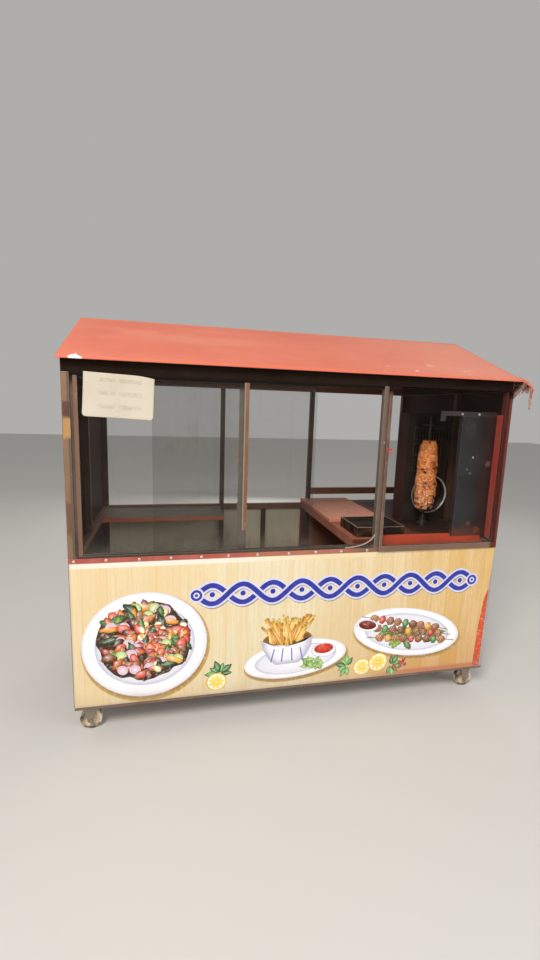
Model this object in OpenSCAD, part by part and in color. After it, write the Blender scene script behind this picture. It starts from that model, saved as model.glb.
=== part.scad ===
// Street food kiosk on four castors: a tube frame with sheet walls, a sliding glass front,
// a gable roof of sheet steel, and a vertical grill with a turning spit in its right bay.
// X runs along the front, Y runs from the front to the back, Z is up from the ground.

/* [Body] */
// Length over the corner posts
body_l = 2160; // [2000:10:2600]
// Depth over the corner posts
body_d = 1100; // [1000:10:1400]
// Height of the top edge of the front panel
sill_h = 856; // [800:1:920]
// Height of the eaves and of the top of the wall frame
eave_h = 1734; // [1680:1:1900]
// Height of the lower edge of the wall sheets
skirt_h = 155; // [146:1:170]

/* [Frame] */
// Side of the square tube in the posts and rails
post_w = 30; // [25:1:40]
// Height of the sill rails
rail_h = 38; // [30:1:50]
// Height of the top rails
header_h = 52; // [40:1:70]
// Side of the square tube in the base
base_tube = 40; // [34:1:50]
// Number of cross tubes in the base
cross_n = 4; // [3:1:6]
// Thickness of the floor deck
deck_t = 12; // [9:1:25]
// Thickness of the side and back sheets
sheet_t = 2; // [1:0.5:4]
// Open seam between two sheets on one wall
seam = 2; // [1:0.5:4]
// Distance from the left corner to the first back post
back_post_1 = 775; // [600:5:900]
// Distance from the left corner to the second back post
back_post_2 = 1415; // [1200:5:1500]
// Distance from the left corner to the stud behind the back sheet
back_stud = 1080; // [950:5:1150]
// Height of the guard rail across the right back bay
guard_h = 989; // [950:1:1100]
// Height of the guard rail's section
guard_t = 46; // [30:1:60]
// Distance from the front face to the stud in each side wall
side_stud = 415; // [350:5:500]

/* [Front] */
// Width of the grill bay, from the right corner to the near side of its post
grill_bay_w = 713; // [650:1:760]
// Height of the flat strip that clamps the cover's top edge
trim_h = 21; // [15:1:30]
// Thickness of that strip
trim_t = 3; // [2:0.5:5]
// Thickness of the front panel
panel_t = 3; // [2:0.5:8]
// Thickness of the printed cover on the front panel
cover_t = 1; // [1:0.5:3]
// Bare edge round the cover
cover_edge = 2; // [1:1:8]
// How far the cover's lower right corner stands back
cover_slant = 30; // [0:1:60]

/* [Windows] */
// Thickness of the glass
glass_t = 4; // [3:0.5:6]
// Thickness of the framed sash
sash_t = 8; // [7:0.5:10]
// Width of each sliding pane
sash_w = 757; // [700:1:800]
// Width of the sash's wall stile
stile_w = 30; // [20:1:40]
// Width of the sash's meeting stile
meeting_w = 44; // [30:1:60]
// Height of the sash's rails
sash_rail_h = 16; // [14:1:30]
// Width of the open serving hatch
hatch_w = 330; // [250:5:400]
// Height of the sliding tracks
track_h = 12; // [10:1:20]
// Thickness of the floor of each track
track_floor = 3; // [2:0.5:5]
// Distance between the track's two grooves
track_pitch = 12; // [11:0.5:14]
// Room over a sash, for lifting it out
sash_lift = 4; // [3:0.5:6]
// Width of the batten on the wall stile
batten_w = 16; // [10:1:24]
// Thickness of the battens
batten_t = 4; // [2:0.5:4]
// How far the pull batten ends above the sill
pull_up = 108; // [60:1:300]
// How far the grill window's frame stands out
grill_frame_t = 12; // [9:1:18]
// Width of the stiles of the grill window
grill_stile_w = 15; // [12:1:30]
// Height of the lower rail of the grill window
grill_rail_h = 30; // [20:1:45]
// How far that frame stays inside the posts' outer edges
grill_frame_in = 4; // [0:1:8]
// How deep the glass sits in its frames
glass_bite = 6; // [3:1:8]

/* [Roof] */
// Rise from the eaves to the ridge
roof_rise = 245; // [150:5:320]
// Overhang past the front and back
eave_over = 30; // [20:5:100]
// Overhang past the two gables
gable_over = 12; // [5:1:40]
// Depth of the fold along the eaves
eave_fold = 12; // [6:1:30]
// Thickness of the roof sheets
roof_t = 2; // [1:0.5:4]
// Side of the square tube in the rafters and ridge
rafter_w = 25; // [20:1:40]
// Number of rafter pairs
rafter_n = 4; // [3:1:6]

/* [Counter] */
// Length of the counter, from the right posts
counter_l = 760; // [740:5:780]
// Height of the counter's top
counter_h = 896; // [890:1:920]
// Thickness of the counter board
counter_t = 20; // [12:1:30]
// Distance from the front posts to the counter's lip
lip_in = 40; // [20:1:60]
// Thickness of the lip
lip_t = 18; // [10:1:25]
// Height of the lip over the counter
lip_up = 20; // [5:1:40]
// Length of the lip
lip_l = 440; // [300:1:450]
// Distance from the counter's left end to the lip
lip_start = 115; // [60:1:140]
// Side of the counter's legs and rails
leg_w = 30; // [25:1:40]
// Length of the griddle
griddle_l = 275; // [200:5:300]
// Depth of the griddle
griddle_d = 240; // [180:5:260]
// Height of the griddle
griddle_h = 54; // [35:1:80]
// Thickness of the griddle's rim
griddle_rim = 6; // [3:1:12]
// Depth of the griddle's pan
griddle_pan = 14; // [6:1:25]
// Distance from the counter's left end to the griddle
griddle_in = 35; // [20:1:45]
// Distance from the lip to the griddle
griddle_back = 32; // [10:1:40]
// Length of the wooden board
board_l = 350; // [250:5:370]
// Depth of the wooden board
board_d = 620; // [400:5:640]
// Thickness of the wooden board
board_t = 18; // [12:1:30]
// Height of the left shelf
shelf_h = 866; // [850:1:870]
// Thickness of the left shelf
shelf_t = 26; // [12:1:26]
// Depth of the left shelf
shelf_d = 300; // [200:5:400]

/* [Grill] */
// Distance from the right posts to the spit
spit_in = 216; // [190:1:230]
// Distance from the front posts to the spit
spit_back = 300; // [270:1:320]
// Diameter of the spit
spit_d = 12; // [8:1:16]
// Radial running clearance of the spit and the axles
run_gap = 0.1; // [0.05:0.01:0.1]
// Height of the meat's foot over the counter
meat_up = 106; // [90:1:130]
// Height of the meat
meat_h = 402; // [300:1:420]
// Largest radius of the meat
meat_r = 61; // [45:1:75]
// Thickness of the plate under the meat
foot_plate_t = 4; // [3:1:8]
// Radius of the plate under the meat
foot_plate_r = 52; // [35:1:60]
// Length of the spit's pointed tip
spit_point = 18; // [8:1:30]
// Diameter of that tip's end
spit_point_d = 2.4; // [1:0.2:4]
// Radius of the spit's bearing foot
foot_r = 30; // [22:1:40]
// Height of the spit's bearing foot
foot_h = 60; // [40:1:75]
// Height of that foot's flange
foot_flange_h = 18; // [8:1:20]
// Height at which the foot's neck starts
foot_neck_z = 30; // [22:1:34]
// Radius of the foot's neck
foot_neck_r = 18; // [12:1:20]
// Depth of the bore in the bearing foot
foot_bore = 30; // [20:1:35]
// Height of the upper bearing arm over the counter
arm_up = 594; // [540:1:620]
// Width of the bearing arm
arm_w = 30; // [24:1:40]
// Thickness of the bearing arm
arm_t = 10; // [6:1:16]
// Height of the spit's tip over the arm
spit_tip = 30; // [15:1:50]
// Distance from the spit to the burner's front
burner_back = 117; // [110:1:150]
// Width of the burner
burner_w = 280; // [220:5:290]
// Depth of the burner
burner_d = 110; // [80:5:140]
// Height of the burner
burner_h = 664; // [640:1:700]
// Distance from the right posts to the burner
burner_in = 10; // [5:1:30]
// Number of burner windows
burner_n = 3; // [2:1:4]
// Width of a burner window
fire_w = 190; // [140:5:200]
// Height of a burner window
fire_h = 74; // [50:1:80]
// Pitch of the burner windows
fire_pitch = 96; // [84:1:110]
// Distance from the burner's top to the middle of the first window
fire_top = 125; // [115:1:150]
// Depth of a burner window
fire_d = 24; // [15:1:40]
// Number of bars in a fire guard
fire_bars = 9; // [5:1:12]
// Thickness of a fire guard's bars
fire_bar_t = 4; // [3:0.5:6]
// Diameter of the round pan
pan_d = 236; // [180:2:240]
// Depth of the round pan
pan_h = 26; // [15:1:30]
// Diameter of the pan's flat bottom
pan_flat_d = 194; // [150:2:200]
// Thickness of the pan's metal
pan_t = 2; // [1:0.5:3]
// Width of the pan's rolled rim
pan_rim_w = 3.2; // [3.2:0.2:6]
// Distance sideways from the spit to the pan's middle
pan_side = 88; // [70:1:92]
// Height of the pan's middle over the counter
pan_up = 170; // [140:1:180]
// Thickness of the heat plate behind the grill window
plate_t = 2; // [1:0.5:4]
// Width of the heat plate, from the right wall
plate_w = 210; // [150:1:216]
// Height of the heat plate over the counter
plate_h = 679; // [600:1:700]
// Depth of the fold along the heat plate's left edge
plate_fold = 28; // [10:1:40]
// Length of the bar across the heat plate's top, from the right wall
bar_l = 344; // [300:1:346]
// Height of that bar
bar_h = 24; // [15:1:35]
// Width of the bar's bent-down end
bar_end_w = 30; // [15:1:45]
// How far that end hangs under the bar
bar_end_h = 27; // [10:1:40]

/* [Castors] */
// Height of the castors
castor_h = 140; // [132:1:144]
// Diameter of the wheels
wheel_d = 100; // [80:1:110]
// Width of the wheels
wheel_w = 32; // [24:1:40]
// Radius of the tread's rounded shoulders
tread_r = 6; // [3:1:8]
// Width of the wheel's raised rim, from the tread inwards
rim_w = 13; // [11:0.5:17]
// Width of the slope between the rim and the web
web_slope = 3; // [1:0.5:5]
// Thickness of the wheel's web
web_t = 14; // [8:1:20]
// Radius of the hub
hub_r = 13; // [12:0.5:15]
// Radius of the hub's foot on the web
hub_foot_r = 17; // [16:0.5:20]
// Diameter of the axles
axle_d = 12; // [8:1:16]
// Side room between a wheel's hub and the fork
hub_gap = 0.5; // [0.3:0.1:1]
// Height of the hub over the wheel's face
hub_out = 5; // [5:0.5:8]
// Thickness of the fork's cheeks
cheek_t = 4; // [3:0.5:6]
// Metal round the axle in a cheek
cheek_land = 8; // [5:1:12]
// Width of a cheek under the top plate
cheek_top_w = 72; // [50:1:76]
// Width of the axle's nuts over their corners
nut_d = 20; // [19:0.5:24]
// Thickness of the axle's nuts
nut_t = 6; // [3:0.5:7]
// Length of the fork's top plate
castor_plate_l = 100; // [80:1:120]
// Width of the fork's top plate
castor_plate_w = 85; // [70:1:100]
// Thickness of the fork's top plate
castor_plate_t = 5; // [4:0.5:8]
// Distance from the ends to the castors
castor_x = 60; // [55:1:200]
// Distance from the front and back to the castors
castor_y = 70; // [60:1:150]

/* [Awning] */
// Reach of the side awning past the right posts
awning_out = 135; // [125:1:200]
// Drop of the awning's cloth
awning_drop = 60; // [40:1:80]
// Height of the cloth's inner edge over the eaves
awning_up = 21; // [16:1:22]
// Thickness of the cloth's soft solid
cloth_t = 5; // [4:0.5:8]
// Distance from the awning's ends to the corners
awning_in = 5; // [5:1:60]
// Width of the awning's batten
awning_batten = 20; // [15:1:30]
// Thickness of the awning's batten
awning_batten_t = 16; // [12:1:24]
// Distance from the wall to the awning's batten
batten_out = 62; // [40:1:70]
// Drop of the struts' feet under the batten
strut_drop = 85; // [50:1:120]
// Width of the struts
strut_w = 25; // [18:1:35]

/* [Clearances] */
// Clearance where one loose piece seats in or near another
fit = 0.3; // [0.2:0.05:0.5]
// Side clearance of a sash in its groove
slide_gap = 0.5; // [0.3:0.1:1]

/* [Hidden] */
$fn = 48;
eps = 1;

// The origin is under the middle of the whole, roof edge and awning included
total_l = gable_over + body_l + awning_out;
left = -total_l / 2 + gable_over;
right = left + body_l;
front = -body_d / 2;
back = body_d / 2;
left_in = left + post_w;
right_in = right - post_w;
front_in = front + post_w;
back_in = back - post_w;

// Levels
base_top = castor_h + base_tube;
floor_top = base_top + deck_t;
rail_top = sill_h + trim_h;
rail_z = rail_top - rail_h;
head_z = eave_h - header_h;

// Bays
bay_x = right - grill_bay_w;
hatch_x = bay_x - hatch_w;
back_x = [left, left + back_post_1, left + back_post_2, right_in];
stud_y = front + side_stud;

// Roof: the top of the sheets at a distance y from the middle, and their underside
roof_slope = roof_rise / (body_d / 2 + eave_over);
roof_cos = 1 / sqrt(1 + roof_slope * roof_slope);
ridge_z = eave_h + eave_fold + roof_rise;
function roof_z(y) = ridge_z - abs(y) * roof_slope;
function roof_under(y) = roof_z(y) - roof_t / roof_cos;
// Where the rafters, gables and ridge bar end, just under the sheets
function seat_z(y) = roof_under(y) - fit;
rafter_drop = rafter_w / roof_cos;

// Sliding panes
groove_w = sash_t + 2 * slide_gap;
outer_y = front + post_w / 2 - track_pitch / 2;
inner_y = outer_y + track_pitch;
pane_z = rail_top + track_floor + fit;
pane_top = head_z - track_floor - sash_lift;
sash_x = left_in + fit;
bare_x = hatch_x - sash_w;

// Grill window
grill_x = bay_x + post_w - grill_stile_w / 2;
grill_right = right - grill_frame_in;
grill_top = head_z + grill_frame_t + grill_frame_in;

// Counter
counter_x = right_in - counter_l;
lip_y = front_in + lip_in;
counter_y = lip_y + lip_t;
counter_z = counter_h - counter_t;
spit_x = right_in - spit_in;
spit_y = front_in + spit_back;
burner_y = spit_y + burner_back;
burner_x = right_in - burner_in - burner_w;
arm_z = counter_h + arm_up;
meat_z = counter_h + meat_up;

// Castors: the axle's height, and the outer half width of a hub
axle_z = wheel_d / 2;
hub_half = wheel_w / 2 + hub_out;
cheek_y = hub_half + hub_gap;

// Awning: the cloth falls along a cubic curve
cloth_x = right + sheet_t + fit;
cloth_reach = awning_out - sheet_t - fit;
function cloth_z(x) = eave_h + awning_up - awning_drop * pow((x - cloth_x) / cloth_reach, 3);
awning_bx = right + batten_out;
batten_top = cloth_z(awning_bx + awning_batten) - cloth_t - fit;
batten_z = batten_top - awning_batten_t;

wine = [0.45, 0.11, 0.10];
roof_red = [0.86, 0.38, 0.29];
bright_red = [0.75, 0.20, 0.12];
weathered = [0.55, 0.40, 0.27];
dark = [0.16, 0.14, 0.13];
steel_grey = [0.45, 0.46, 0.45];
beige = [0.62, 0.57, 0.47];
glass_tint = [0.70, 0.78, 0.78, 0.35];

// A block between two corners
module block(x0, x1, y0, y1, z0, z1) {
    translate([x0, y0, z0]) cube([x1 - x0, y1 - y0, z1 - z0]);
}

// An outline in Y and Z, carried along X
module along_x(x0, x1) {
    translate([x0, 0, 0]) rotate([90, 0, 90]) linear_extrude(x1 - x0) children();
}

// An outline in X and Z, carried along Y
module along_y(y0, y1) {
    translate([0, y1, 0]) rotate([90, 0, 0]) linear_extrude(y1 - y0) children();
}

// Base

module base_rails() {
    color(dark) for (y = [front, back - base_tube])
        block(left, right, y, y + base_tube, castor_h, base_top);
}

module base_cross() {
    pitch = (body_l - base_tube) / (cross_n - 1);
    color(dark) for (i = [0 : cross_n - 1])
        translate([i * pitch, 0, 0])
            block(left, left + base_tube, front + base_tube, back - base_tube, castor_h, base_top);
}

module floor_deck() {
    color(weathered) block(left_in, right_in, front_in, back_in, base_top, floor_top);
}

// One castor fork with its axle, for a wheel that turns about Y
module castor_fork() {
    cheek_foot = axle_d / 2 + cheek_land;
    plate_z = castor_h - castor_plate_t;
    translate([-castor_plate_l / 2, -castor_plate_w / 2, plate_z])
        cube([castor_plate_l, castor_plate_w, castor_plate_t]);
    for (y = [-cheek_y - cheek_t, cheek_y])
        along_y(y, y + cheek_t) union() {
            translate([0, axle_z]) circle(cheek_foot);
            polygon([
                [-cheek_foot, axle_z],
                [cheek_foot, axle_z],
                [cheek_top_w / 2, plate_z],
                [-cheek_top_w / 2, plate_z]
            ]);
        }
    translate([0, 0, axle_z]) rotate([90, 0, 0])
        cylinder(h = 2 * (cheek_y + cheek_t), d = axle_d, center = true);
    for (side = [-1, 1])
        translate([0, side * (cheek_y + cheek_t + nut_t / 2), axle_z]) rotate([90, 0, 0])
            cylinder(h = nut_t, d = nut_d, center = true, $fn = 6);
}

module castor_forks() {
    color(steel_grey)
        for (x = [left + castor_x, right - castor_x], y = [front + castor_y, back - castor_y])
            translate([x, y, 0]) castor_fork();
}

// Tyre, web and hub are one moulding, turned about the axle
module wheel(x, y) {
    half = wheel_w / 2;
    web = web_t / 2;
    tread = wheel_d / 2 - tread_r;
    rim = wheel_d / 2 - rim_w;
    color(dark) translate([x, y, axle_z]) rotate([90, 0, 0]) difference() {
        rotate_extrude($fn = 64) union() {
            polygon([
                [0, -hub_half], [hub_r, -hub_half], [hub_foot_r, -web],
                [rim - web_slope, -web], [rim, -half], [tread, -half],
                [tread, half], [rim, half], [rim - web_slope, web],
                [hub_foot_r, web], [hub_r, hub_half], [0, hub_half]
            ]);
            translate([tread - eps, -half + tread_r])
                square([tread_r + eps, wheel_w - 2 * tread_r]);
            for (s = [-1, 1])
                translate([tread, s * (half - tread_r)]) circle(tread_r);
        }
        cylinder(h = 2 * hub_half + 2 * eps, r = axle_d / 2 + run_gap, center = true);
    }
}

module wheel_front_left() { wheel(left + castor_x, front + castor_y); }
module wheel_front_right() { wheel(right - castor_x, front + castor_y); }
module wheel_back_left() { wheel(left + castor_x, back - castor_y); }
module wheel_back_right() { wheel(right - castor_x, back - castor_y); }

// Wall frame

module front_posts() {
    color(wine) {
        for (x = [left, right_in]) block(x, x + post_w, front, front_in, base_top, head_z);
        block(bay_x, bay_x + post_w, front, front_in, rail_top, head_z);
    }
}

module back_posts() {
    stud_x = left + back_stud;
    color(wine) {
        for (x = back_x) block(x, x + post_w, back_in, back, base_top, head_z);
        block(stud_x, stud_x + post_w, back_in, back, base_top, rail_z);
    }
}

module front_rails() {
    color(dark) {
        block(left_in, right_in, front, front_in, rail_z, rail_top);
        block(left, right, front, front_in, head_z, eave_h);
    }
}

module back_rails() {
    color(wine) {
        for (i = [0 : len(back_x) - 2])
            block(back_x[i] + post_w, back_x[i + 1], back_in, back, rail_z, rail_top);
        block(back_x[2] + post_w, back_x[3], back_in, back, guard_h - guard_t, guard_h);
        block(left, right, back_in, back, head_z, eave_h);
    }
}

module side_rails() {
    color(wine) for (x = [left, right_in]) {
        block(x, x + post_w, front_in, back_in, rail_z, rail_top);
        block(x, x + post_w, front_in, back_in, head_z, eave_h);
    }
}

module side_studs() {
    color(wine) for (x = [left, right_in])
        block(x, x + post_w, stud_y, stud_y + post_w, rail_top, head_z);
}

// Walls

module front_panel() {
    color(beige) block(left, right, front - panel_t, front, skirt_h, sill_h);
}

module printed_cover() {
    face = front - panel_t;
    color([0.93, 0.80, 0.50]) along_y(face - cover_t, face) polygon([
        [left + cover_edge, skirt_h + cover_edge],
        [right - cover_edge - cover_slant, skirt_h + cover_edge],
        [right - cover_edge, sill_h - cover_edge],
        [left + cover_edge, sill_h - cover_edge]
    ]);
}

module sill_trim() {
    color(bright_red) block(left, grill_x - fit, front - trim_t, front, sill_h, rail_top);
}

// The lower and the upper sheet of one side wall
module wall_sheets(x) {
    color(wine) {
        block(x, x + sheet_t, front, back, skirt_h, rail_top - seam);
        block(x, x + sheet_t, front, back, rail_top, eave_h);
    }
}

module left_wall_sheets() { wall_sheets(left - sheet_t); }
module right_wall_sheets() { wall_sheets(right); }

module back_sheets() {
    edges = [left, back_x[1] + post_w / 2, back_x[2] + post_w / 2, right];
    color(beige) for (i = [0 : len(edges) - 2])
        block(edges[i] + seam / 2, edges[i + 1] - seam / 2, back, back + sheet_t, skirt_h, rail_top);
}

// Windows

// A frame between two corners, grooved for its glass; its middle plane is at y
module glazed_frame(x0, x1, y, t, z0, z1, wl, wr, hb, ht) {
    slot = glass_t / 2 + fit;
    difference() {
        block(x0, x1, y - t / 2, y + t / 2, z0, z1);
        block(x0 + wl, x1 - wr, y - t, y + t, z0 + hb, z1 - ht);
        block(x0 + wl - glass_bite - fit, x1 - wr + glass_bite + fit, y - slot, y + slot,
            z0 + hb - glass_bite - fit, z1 - ht + glass_bite + fit);
    }
}

// The pane that stands in such a frame
module framed_pane(x0, x1, y, z0, z1, wl, wr, hb, ht) {
    block(x0 + wl - glass_bite, x1 - wr + glass_bite, y - glass_t / 2, y + glass_t / 2,
        z0 + hb - glass_bite - fit, z1 - ht + glass_bite);
}

module sash_frame() {
    color(steel_grey) glazed_frame(sash_x, sash_x + sash_w, outer_y, sash_t, pane_z, pane_top,
        stile_w, meeting_w, sash_rail_h, sash_rail_h);
}

module sash_glass() {
    color(glass_tint) {
        framed_pane(sash_x, sash_x + sash_w, outer_y, pane_z, pane_top,
            stile_w, meeting_w, sash_rail_h, sash_rail_h);
        block(bare_x, bare_x + sash_w, inner_y - glass_t / 2, inner_y + glass_t / 2,
            pane_z, pane_top);
    }
}

// Painted battens on the sash's two stiles; the one on the meeting stile is the pull
module window_battens() {
    face = outer_y - sash_t / 2;
    top = head_z - track_h - fit;
    color([0.72, 0.42, 0.22]) {
        block(sash_x + stile_w - batten_w, sash_x + stile_w, face - batten_t, face,
            rail_top + track_h + fit, top);
        block(sash_x + sash_w - meeting_w / 2, sash_x + sash_w, face - batten_t, face,
            rail_top + pull_up, top);
    }
}

// One track, grooved on its upper side
module window_track() {
    difference() {
        block(left_in, bay_x, front, front_in, 0, track_h);
        for (y = [outer_y, inner_y])
            block(left_in - eps, bay_x + eps, y - groove_w / 2, y + groove_w / 2,
                track_floor, track_h + eps);
    }
}

module window_tracks() {
    color(steel_grey) {
        translate([0, 0, rail_top]) window_track();
        translate([0, 0, head_z]) mirror([0, 0, 1]) window_track();
    }
}

module grill_window_frame() {
    color([0.55, 0.47, 0.47]) glazed_frame(grill_x, grill_right, front - grill_frame_t / 2,
        grill_frame_t, sill_h, grill_top, grill_stile_w, grill_stile_w, grill_rail_h, grill_stile_w);
}

module grill_window_glass() {
    color(glass_tint) framed_pane(grill_x, grill_right, front - grill_frame_t / 2,
        sill_h, grill_top, grill_stile_w, grill_stile_w, grill_rail_h, grill_stile_w);
}

// Roof

// One sheet from the ridge to the eave, folded down along the eave; side is -1 or 1
module roof_sheet(side) {
    edge = body_d / 2 + eave_over;
    color(roof_red) along_x(left - gable_over, right + gable_over) polygon([
        [0, ridge_z],
        [side * edge, roof_z(edge)],
        [side * edge, eave_h],
        [side * (edge - roof_t), eave_h],
        [side * (edge - roof_t), roof_under(edge - roof_t)],
        [0, roof_under(0)]
    ]);
}

module front_roof_sheet() { roof_sheet(-1); }
module back_roof_sheet() { roof_sheet(1); }

module gable_sheets() {
    color(roof_red) for (x = [left - sheet_t, right])
        along_x(x, x + sheet_t) polygon([
            [front, eave_h],
            [front, seat_z(front)],
            [0, seat_z(0)],
            [back, seat_z(back)],
            [back, eave_h]
        ]);
}

// One rafter from the top rail to the ridge bar, with a heel that stands on the rail
module rafter(side) {
    foot = body_d / 2;
    heel = foot - post_w;
    half = rafter_w / 2;
    along_x(0, rafter_w) intersection() {
        union() {
            polygon([
                [side * foot, seat_z(foot) - rafter_drop],
                [side * foot, seat_z(foot)],
                [side * half, seat_z(half)],
                [side * half, seat_z(half) - rafter_drop]
            ]);
            polygon([
                [side * foot, eave_h],
                [side * foot, seat_z(foot)],
                [side * heel, seat_z(heel)],
                [side * heel, eave_h]
            ]);
        }
        translate([-body_d / 2, eave_h]) square([body_d, ridge_z]);
    }
}

module rafters() {
    pitch = (body_l - rafter_w) / (rafter_n - 1);
    color(dark) for (i = [0 : rafter_n - 1], side = [-1, 1])
        translate([left + i * pitch, 0, 0]) rafter(side);
}

module ridge_bar() {
    half = rafter_w / 2;
    top = seat_z(half);
    color(dark) block(left, right, -half, half, top - rafter_drop, top);
}

// Counter and shelf

module work_counter() {
    color(bright_red) block(counter_x, right_in, counter_y, back_in, counter_z, counter_h);
}

module counter_frame() {
    rail = counter_z - leg_w;
    color(bright_red) {
        block(counter_x, right_in, lip_y, lip_y + leg_w, rail, counter_z);
        block(counter_x, right_in, back_in - leg_w, back_in, rail, counter_z);
        block(counter_x, counter_x + leg_w, lip_y, back_in, rail, counter_z);
        for (y = [lip_y, back_in - leg_w])
            block(counter_x, counter_x + leg_w, y, y + leg_w, floor_top, counter_z);
        block(counter_x + lip_start, counter_x + lip_start + lip_l, lip_y, counter_y,
            rail, counter_h + lip_up);
    }
}

module cutting_board() {
    edge = back_in - fit;
    color([0.66, 0.45, 0.38])
        block(counter_x, counter_x + board_l, edge - board_d, edge, counter_h, counter_h + board_t);
}

module griddle() {
    x = counter_x + griddle_in;
    y = counter_y + griddle_back;
    top = counter_h + griddle_h;
    color(dark) difference() {
        block(x, x + griddle_l, y, y + griddle_d, counter_h, top);
        block(x + griddle_rim, x + griddle_l - griddle_rim, y + griddle_rim,
            y + griddle_d - griddle_rim, top - griddle_pan, top + eps);
    }
}

module left_shelf() {
    color(bright_red)
        block(left_in, back_x[1], back_in - shelf_d, back_in, shelf_h - shelf_t, shelf_h);
}

// Grill

// A sheet that stands on the counter's front edge, folded back along its left edge, and the bar
// across its top, whose left end is bent down
module heat_plate() {
    x = right - plate_w;
    top = counter_h + plate_h;
    bar_x = right - bar_l;
    bar_y = counter_y - plate_t;
    bar_z = top - bar_h;
    color([0.28, 0.29, 0.30]) {
        block(x, right, counter_y, counter_y + plate_t, counter_h, top);
        block(x, x + plate_t, counter_y, counter_y + plate_fold, counter_h, top);
        block(bar_x, right, bar_y, counter_y, bar_z, top);
        block(bar_x, bar_x + bar_end_w, bar_y, counter_y, bar_z - bar_end_h, top);
    }
}

// Height of the lower edge of burner window i
function fire_z(i) = counter_h + burner_h - fire_top - fire_h / 2 - i * fire_pitch;

module burner_box() {
    mid = burner_x + burner_w / 2;
    color(dark) difference() {
        block(burner_x, burner_x + burner_w, burner_y, burner_y + burner_d,
            counter_h, counter_h + burner_h);
        for (i = [0 : burner_n - 1])
            block(mid - fire_w / 2, mid + fire_w / 2, burner_y - eps, burner_y + fire_d,
                fire_z(i), fire_z(i) + fire_h);
    }
}

// A guard with upright bars in each burner window
module fire_guards() {
    mid = burner_x + burner_w / 2;
    x0 = mid - fire_w / 2 + fit;
    x1 = mid + fire_w / 2 - fit;
    step = (x1 - x0 - fire_bar_t) / (fire_bars + 1);
    color(steel_grey) for (i = [0 : burner_n - 1]) {
        z0 = fire_z(i);
        z1 = z0 + fire_h - fit;
        for (z = [z0, z1 - fire_bar_t])
            block(x0, x1, burner_y, burner_y + fire_bar_t, z, z + fire_bar_t);
        for (k = [0 : fire_bars + 1])
            block(x0 + k * step, x0 + k * step + fire_bar_t, burner_y, burner_y + fire_bar_t, z0, z1);
    }
}

module spit_arm() {
    color(steel_grey) translate([spit_x, spit_y, arm_z]) difference() {
        union() {
            cylinder(h = arm_t, d = arm_w);
            translate([-arm_w / 2, 0, 0]) cube([arm_w, burner_back, arm_t]);
        }
        translate([0, 0, -eps]) cylinder(h = arm_t + 2 * eps, r = spit_d / 2 + run_gap);
    }
}

module spit_foot() {
    color(steel_grey) translate([spit_x, spit_y, counter_h]) difference() {
        rotate_extrude() polygon([
            [0, 0],
            [foot_r, 0],
            [foot_r, foot_flange_h],
            [foot_neck_r, foot_neck_z],
            [foot_neck_r, foot_h],
            [0, foot_h]
        ]);
        translate([0, 0, foot_h - foot_bore])
            cylinder(h = foot_bore + eps, r = spit_d / 2 + run_gap);
    }
}

// A dished pan that stands on its edge against the burner
module round_pan() {
    rim = pan_d / 2;
    flat = pan_flat_d / 2;
    color(steel_grey)
        translate([spit_x + pan_side, burner_y - fit, counter_h + pan_up]) rotate([90, 0, 0])
            rotate_extrude($fn = 96) polygon([
                [0, 0],
                [flat, 0],
                [rim - pan_t, pan_h - pan_t],
                [rim, pan_h - pan_t],
                [rim, pan_h],
                [rim - pan_rim_w, pan_h],
                [flat - pan_t, pan_t],
                [0, pan_t]
            ]);
}

module spit_rod() {
    rod_z = counter_h + foot_h - foot_bore + fit;
    tip_z = arm_z + arm_t + spit_tip;
    color(steel_grey) translate([spit_x, spit_y, 0]) {
        translate([0, 0, rod_z]) cylinder(h = tip_z - rod_z, d = spit_d);
        translate([0, 0, tip_z]) cylinder(h = spit_point, d1 = spit_d, d2 = spit_point_d);
        translate([0, 0, meat_z - foot_plate_t]) cylinder(h = foot_plate_t, r = foot_plate_r);
    }
}

// Stacked slices, pressed together into a knobbly cone; radii are shares of the largest one
module spit_meat() {
    shares = [0.78, 0.97, 1.00, 0.98, 0.89, 0.94, 0.88, 0.78, 0.60];
    step = meat_h / (len(shares) - 1);
    bore = spit_d / 2 + fit;
    color([0.72, 0.38, 0.20]) translate([spit_x, spit_y, meat_z]) rotate_extrude() polygon(concat(
        [[bore, 0]],
        [for (i = [0 : len(shares) - 1]) [meat_r * shares[i], i * step]],
        [[bore, meat_h]]
    ));
}

// Side awning

module awning_frame() {
    ends = [front + awning_in, back - awning_in];
    wall = right + sheet_t;
    foot = batten_z - strut_drop;
    color(weathered) {
        block(awning_bx, awning_bx + awning_batten, ends[0], ends[1], batten_z, batten_top);
        for (y = [ends[0], ends[1] - strut_w])
            along_y(y, y + strut_w) polygon([
                [wall, foot],
                [awning_bx + awning_batten, batten_z],
                [awning_bx + awning_batten, batten_top],
                [awning_bx, batten_top],
                [awning_bx, batten_z],
                [wall, foot + strut_w]
            ]);
    }
}

module awning_cloth() {
    steps = 10;
    xs = [for (i = [0 : steps]) cloth_x + cloth_reach * i / steps];
    color(bright_red) along_y(front + awning_in, back - awning_in) polygon(concat(
        [for (x = xs) [x, cloth_z(x)]],
        [for (i = [steps : -1 : 0]) [
            max(cloth_x, xs[i] - cloth_t * i / steps),
            cloth_z(xs[i]) - cloth_t * (1 - 0.6 * i / steps)
        ]]
    ));
}

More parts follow.
